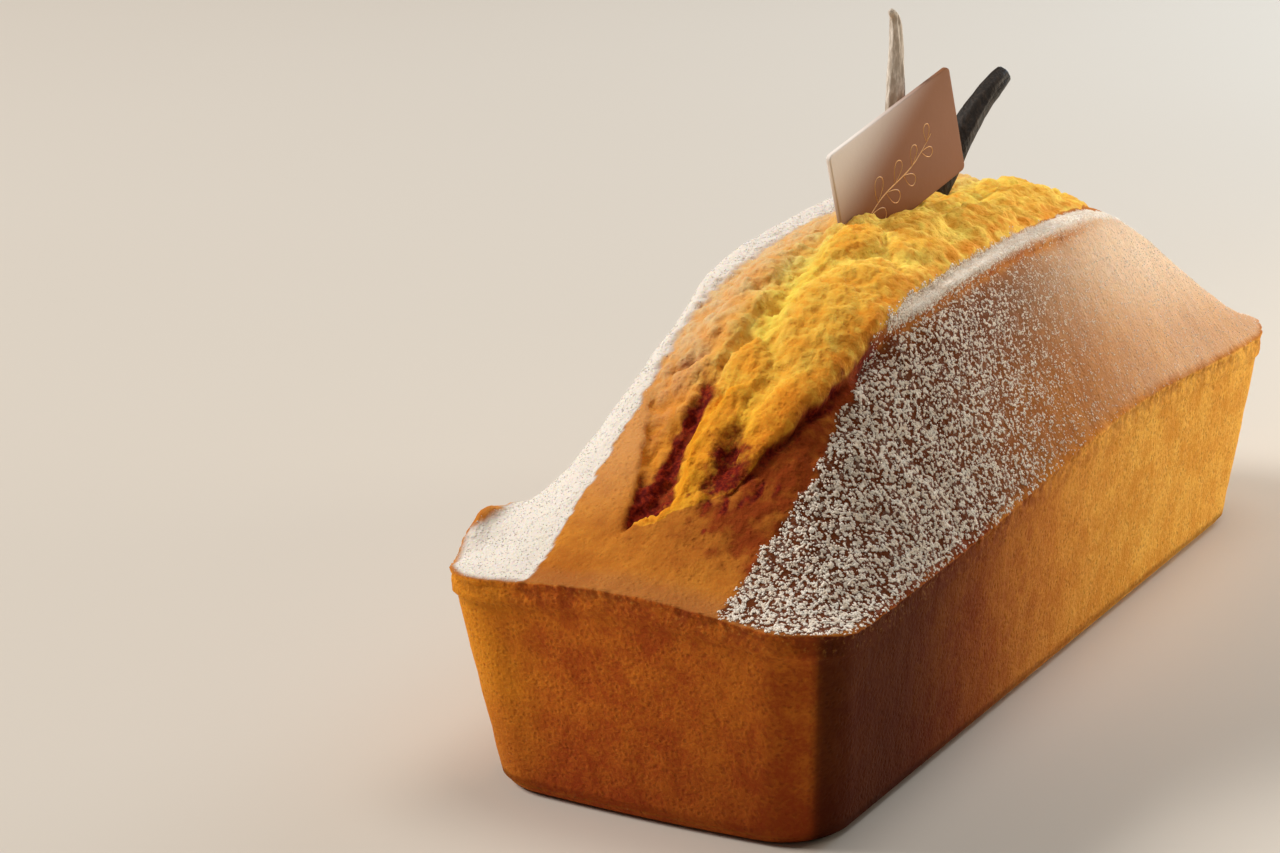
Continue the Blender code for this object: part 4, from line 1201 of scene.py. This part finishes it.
def scatter(top, density, total, within, seed):
    """Places within a part of the top, drawn by area and density, with their normals and cells.

    The part gets its share of the total for all the places with any density.
    """
    draw = np.random.default_rng(seed)
    a, b = top[:-1, :-1], top[1:, 1:]
    c, d = top[1:, :-1], top[:-1, 1:]
    normal = np.cross(b - a, d - c)
    area = np.linalg.norm(normal, axis=-1)
    weight = (area * density * within).ravel()
    count = min(round(total * weight.sum() / (area * density).sum()), MOST_GRAINS)
    passed = np.cumsum(weight)
    cell = np.searchsorted(passed, draw.uniform(0.0, passed[-1], CANDIDATES * count))
    i, j = np.unravel_index(cell, area.shape)
    u, v = draw.uniform(0.0, 1.0, (2, CANDIDATES * count, 1))
    places = (1 - u) * ((1 - v) * a[i, j] + v * d[i, j]) + u * ((1 - v) * c[i, j] + v * b[i, j])
    return places, normal[i, j] / area[i, j][:, None], cell, count


def cell_middles(values):
    """Mean of the four crossings round each cell of a grid."""
    return 0.25 * (values[:-1, :-1] + values[1:, 1:] + values[1:, :-1] + values[:-1, 1:])


def grain_radii(draw, behind):
    """Drawn radii, mostly small, from those at the front right to those well behind or left."""
    small, large = [near + (far - near) * behind for near, far in zip(*GRAIN_RADII)]
    return small + (large - small) * draw.uniform(0.0, 1.0, len(behind)) ** GRAIN_SIZE_POWER


def make_sugar(top, masks, finish, left_finish):
    """Grains of sugar: in clusters on the right, close together on the left and the ledge."""
    x, y = np.moveaxis(cell_middles(top), -1, 0)[:2]
    cover = cell_middles(masks["sugar"])
    closed = cell_middles(masks["closed"])
    pieces = []
    for number, (name, side, reach, total) in enumerate(SCATTERS):
        within = (y > reach[0]) & (y <= reach[1])
        density = (side * x > 0) * cover * (1.0 + (STRIP_DENSITY - 1.0) * closed * (x > 0))
        density = density * (1.0 - THINNING[0] * ease(y, *THINNING[1:]) * (x > 0))
        places, normals, cell, count = scatter(top, density, total, within, number)
        clusters = relief(noise.noise, *places.T, ((1.0, CLUSTER_SIZE), (0.5, 0.5 * CLUSTER_SIZE)))
        share = BETWEEN_CLUSTERS + (1.0 - BETWEEN_CLUSTERS) * ease(clusters, *CLUSTER_EDGE)
        share = np.maximum(share, closed.ravel()[cell])
        draw = np.random.default_rng(100 + number)
        kept = np.flatnonzero(draw.uniform(0.0, 1.0, len(share)) < share)[:count]
        behind = np.clip(ease(places[kept, 1], *GRAIN_SHRINK_Y) + (side < 0), 0.0, 1.0)
        # The right's grains take the whitened copy of the sugar, as painted light; the left's take the greyed
        # one, as painted shade
        look = finish if side > 0 else left_finish
        pieces.append(clumps(name, places[kept], normals[kept], grain_radii(draw, behind), look, number))
    return pieces


def spline(values, share):
    """Catmull-Rom course through evenly numbered values, at a share of the way along."""
    place = share * (len(values) - 1)
    start = min(int(place), len(values) - 2)
    t = place - start
    before = values[max(start - 1, 0)]
    a, b = values[start], values[start + 1]
    after = values[min(start + 2, len(values) - 1)]
    bend = (2.0 * before - 5.0 * a + 4.0 * b - after) * t * t + (3.0 * (a - b) + after - before) * t**3
    return a + 0.5 * ((b - before) * t + bend)


def shrivel(turn, share, size, shift):
    """How far a pod's skin stands out at a turn round it and a share of the way along."""
    depth, turns_round, turns_along = size
    x = turns_round * math.cos(turn) + shift[0]
    y = turns_round * math.sin(turn) + shift[1]
    return depth * noise.noise(Vector((x, y, turns_along * share)))


def make_pod(name, table, finish, seed):
    """Flattened, shrivelled pod along a curve, closed by a small face at each end."""
    centres = [np.array(centre) for centre, _, _ in table]
    widths = [width for _, width, _ in table]
    depths = [depth for _, _, depth in table]
    points = []
    for ring in range(POD_RINGS + 1):
        share = ring / POD_RINGS
        centre = spline(centres, share)
        ahead = spline(centres, min(share + 0.01, 1.0)) - spline(centres, max(share - 0.01, 0.0))
        ahead = ahead / np.linalg.norm(ahead)
        side = np.cross(ahead, np.array(POD_FACING))
        side = side / np.linalg.norm(side)
        across = np.cross(ahead, side)
        closing = math.sqrt(min(1.0, POD_CLOSING[0] + POD_CLOSING[1] * min(share, 1.0 - share)))
        for step in range(POD_SIDES):
            turn = 2.0 * math.pi * step / POD_SIDES
            ridge = shrivel(turn, share, POD_RIDGES, (seed, 0.0))
            crease = shrivel(turn, share, POD_CREASES, (0.0, seed))
            scale = closing * (1.0 + ridge + crease) / 2
            half_width = scale * spline(widths, share)
            half_depth = scale * spline(depths, share)
            points.append(centre + side * half_width * math.cos(turn) + across * half_depth * math.sin(turn))
    faces = []
    for ring in range(POD_RINGS):
        for step in range(POD_SIDES):
            a = ring * POD_SIDES + step
            b = ring * POD_SIDES + (step + 1) % POD_SIDES
            faces.append((a, b, b + POD_SIDES, a + POD_SIDES))
    last = POD_RINGS * POD_SIDES
    faces.append(tuple(reversed(range(POD_SIDES))))
    faces.append(tuple(range(last, last + POD_SIDES)))
    return mesh_object(name, points, faces, finish)


def plaque_matrix():
    """Turns and tilts the plaque, and moves it to its place."""
    along = Matrix.Rotation(math.pi / 2 - PLAQUE_YAW, 4, "Z")
    tilt = Matrix.Rotation(-PLAQUE_PITCH, 4, "Y")
    return Matrix.Translation(PLAQUE_CENTRE) @ along @ tilt


def make_plaque(finish):
    """Thin rectangle with rounded corners and soft edges."""
    outline = []
    for quarter in range(4):
        centre_x = (PLAQUE_LENGTH / 2 - PLAQUE_CORNER) * (1 if quarter in (0, 3) else -1)
        centre_z = (PLAQUE_HEIGHT / 2 - PLAQUE_CORNER) * (1 if quarter in (0, 1) else -1)
        for step in range(PLAQUE_CORNER_STEPS + 1):
            turn = math.pi / 2 * (quarter + step / PLAQUE_CORNER_STEPS)
            place = (centre_x + PLAQUE_CORNER * math.cos(turn), centre_z + PLAQUE_CORNER * math.sin(turn))
            outline.append(place)
    half = PLAQUE_THICKNESS / 2
    points = [(a, -half, b) for a, b in outline] + [(a, half, b) for a, b in outline]
    count = len(outline)
    faces = [tuple(range(count)), tuple(range(2 * count - 1, count - 1, -1))]
    faces += [(k, k + count, (k + 1) % count + count, (k + 1) % count) for k in range(count)]
    plaque = mesh_object("chocolate_plaque", points, faces, finish)
    plaque.data.transform(plaque_matrix())
    edge = plaque.modifiers.new("soft edge", "BEVEL")
    edge.width = PLAQUE_SOFT_EDGE
    edge.segments = 3
    edge.limit_method = "ANGLE"
    return plaque


def strip(line, width):
    """Thin raised line through points (along, up) on the plaque's front, with a peaked section."""
    line = np.array(line)
    ahead = np.gradient(line, axis=0)
    side = np.column_stack((-ahead[:, 1], ahead[:, 0])) / np.linalg.norm(ahead, axis=1)[:, None]
    taper = np.sqrt(np.clip(1.0 - SPRIG_TAPER * np.linspace(-1.0, 1.0, len(line)) ** 2, 0.0, 1.0))[:, None]
    left, right = line + side * taper * width / 2, line - side * taper * width / 2
    front = -PLAQUE_THICKNESS / 2
    points = []
    for a, m, b in zip(left, line, right):
        points += [(a[0], front + SPRIG_SINK, a[1]), (m[0], front - SPRIG_RAISED, m[1]),
                   (b[0], front + SPRIG_SINK, b[1])]
    faces = [(0, 1, 2), (len(points) - 1, len(points) - 2, len(points) - 3)]
    for k in range(0, len(points) - 3, 3):
        faces += [(k, k + 3, k + 4, k + 1), (k + 1, k + 4, k + 5, k + 2), (k + 2, k + 5, k + 3, k)]
    return points, faces


def make_sprig(finish):
    """Thin gold sprig across the plaque: a wavy stem with small leaves on both sides."""
    share = np.linspace(0.0, 1.0, SPRIG_STEM_POINTS)
    along = SPRIG_START[0] + (SPRIG_END[0] - SPRIG_START[0]) * share
    up = SPRIG_START[1] + (SPRIG_END[1] - SPRIG_START[1]) * share + SPRIG_WAVE * np.sin(2.0 * math.pi * share)
    lines = [(np.column_stack((along, up)), SPRIG_STEM_WIDTH)]
    turn = np.linspace(0.0, 1.0, SPRIG_LEAF_POINTS)
    for number, place in enumerate(SPRIG_LEAVES):
        k = round(place * (SPRIG_STEM_POINTS - 1))
        sideways = SPRIG_LEAF_TURN if number % 2 else -SPRIG_LEAF_TURN
        heading = math.atan2(up[k] - up[k - 1], along[k] - along[k - 1]) + sideways
        length = SPRIG_LEAF * (SPRIG_LEAF_SHARES[0] - SPRIG_LEAF_SHARES[1] * place)
        body = length * np.sin(0.5 * math.pi * (1.0 - np.abs(2.0 * turn - 1.0)))
        bow = SPRIG_LEAF_BOW * length * np.sin(2.0 * math.pi * turn)
        leaf_x = along[k] + body * math.cos(heading) - bow * math.sin(heading)
        leaf_z = up[k] + body * math.sin(heading) + bow * math.cos(heading)
        lines.append((np.column_stack((leaf_x, leaf_z)), SPRIG_LEAF_WIDTH))
    points, faces = [], []
    for line, width in lines:
        more, made = strip(line, width)
        faces += [tuple(len(points) + corner for corner in face) for face in made]
        points += more
    sprig = mesh_object("gold_sprig", points, faces, finish, False)
    sprig.data.transform(plaque_matrix())
    return sprig


def make_floor():
    corners = [(-4, -4, 0), (4, -4, 0), (4, 4, 0), (-4, 4, 0)]
    floor = mesh_object("floor", corners, [(0, 1, 2, 3)], floor_material(), False)
    floor.location.z = -0.0001


def make_camera():
    """Stands where the photograph was taken from."""
    azimuth, elevation, roll = CAMERA_AZIMUTH, CAMERA_ELEVATION, CAMERA_ROLL
    back = Vector((math.sin(azimuth) * math.cos(elevation), -math.cos(azimuth) * math.cos(elevation),
                   math.sin(elevation)))
    side = (-back).cross(Vector((0, 0, 1))).normalized()
    up = side.cross(-back)
    right = math.cos(roll) * side + math.sin(roll) * up
    top = -math.sin(roll) * side + math.cos(roll) * up
    data = bpy.data.cameras.new("camera")
    data.lens = CAMERA_LENS
    data.sensor_width = SENSOR_WIDTH
    camera = bpy.data.objects.new("camera", data)
    bpy.context.scene.collection.objects.link(camera)
    place = Vector(CAMERA_TARGET) + back * CAMERA_DISTANCE
    camera.matrix_world = Matrix.Translation(place) @ Matrix((right, top, back)).transposed().to_4x4()
    bpy.context.scene.camera = camera


def area_light(name, place, target, size, power, colour, spread):
    data = bpy.data.lights.new(name, "AREA")
    data.size = size
    data.energy = power
    data.color = colour
    data.spread = math.radians(spread)
    light = bpy.data.objects.new(name, data)
    light.location = place
    light.rotation_euler = (Vector(target) - Vector(place)).to_track_quat("-Z", "Y").to_euler()
    light.visible_camera = False
    bpy.context.scene.collection.objects.link(light)


def make_light():
    for light in LIGHTS:
        area_light(*light)
    world = bpy.data.worlds.new("world")
    world.use_nodes = True
    background = world.node_tree.nodes["Background"]
    background.inputs["Color"].default_value = WORLD_COLOUR
    background.inputs["Strength"].default_value = WORLD_STRENGTH
    bpy.context.scene.world = world
    bpy.context.scene.view_settings.view_transform = "Standard"


def place_piece(piece, node=None):
    """Fixes a piece to the part's root, and hides the solid that it replaces."""
    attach(piece, "root")
    if node:
        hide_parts(node)


make_camera()
make_floor()
make_light()
loaf, top, masks = make_loaf(cake_material())
place_piece(loaf, "cake_loaf")
# Two copies of the sugar: whiter for the shaded right, as painted light, and greyer for the brightly lit
# left, as painted shade
sugar_whitened_for_shade = sugar_material("sugar", tone(242, 224, 204), tone(254, 246, 234))
sugar_greyed_for_light = sugar_material("sugar_left", tone(216, 208, 197), tone(232, 225, 216))
for piece in make_sugar(top, masks, sugar_whitened_for_shade, sugar_greyed_for_light):
    place_piece(piece)
place_piece(make_plaque(chocolate_material()), "plaque")
place_piece(make_sprig(gold_material()))
dark_skin = pod_material("vanilla_dark", (0.010, 0.006, 0.004), (0.034, 0.021, 0.014), 0.5)
pale_skin = pod_material("vanilla_pale", (0.490, 0.410, 0.330), (0.900, 0.830, 0.740), 0.65)
place_piece(make_pod("pod_dark", DARK_POD, dark_skin, 3.0), "vanilla_pod_dark")
place_piece(make_pod("pod_pale", PALE_POD, pale_skin, 8.0), "vanilla_pod_pale")
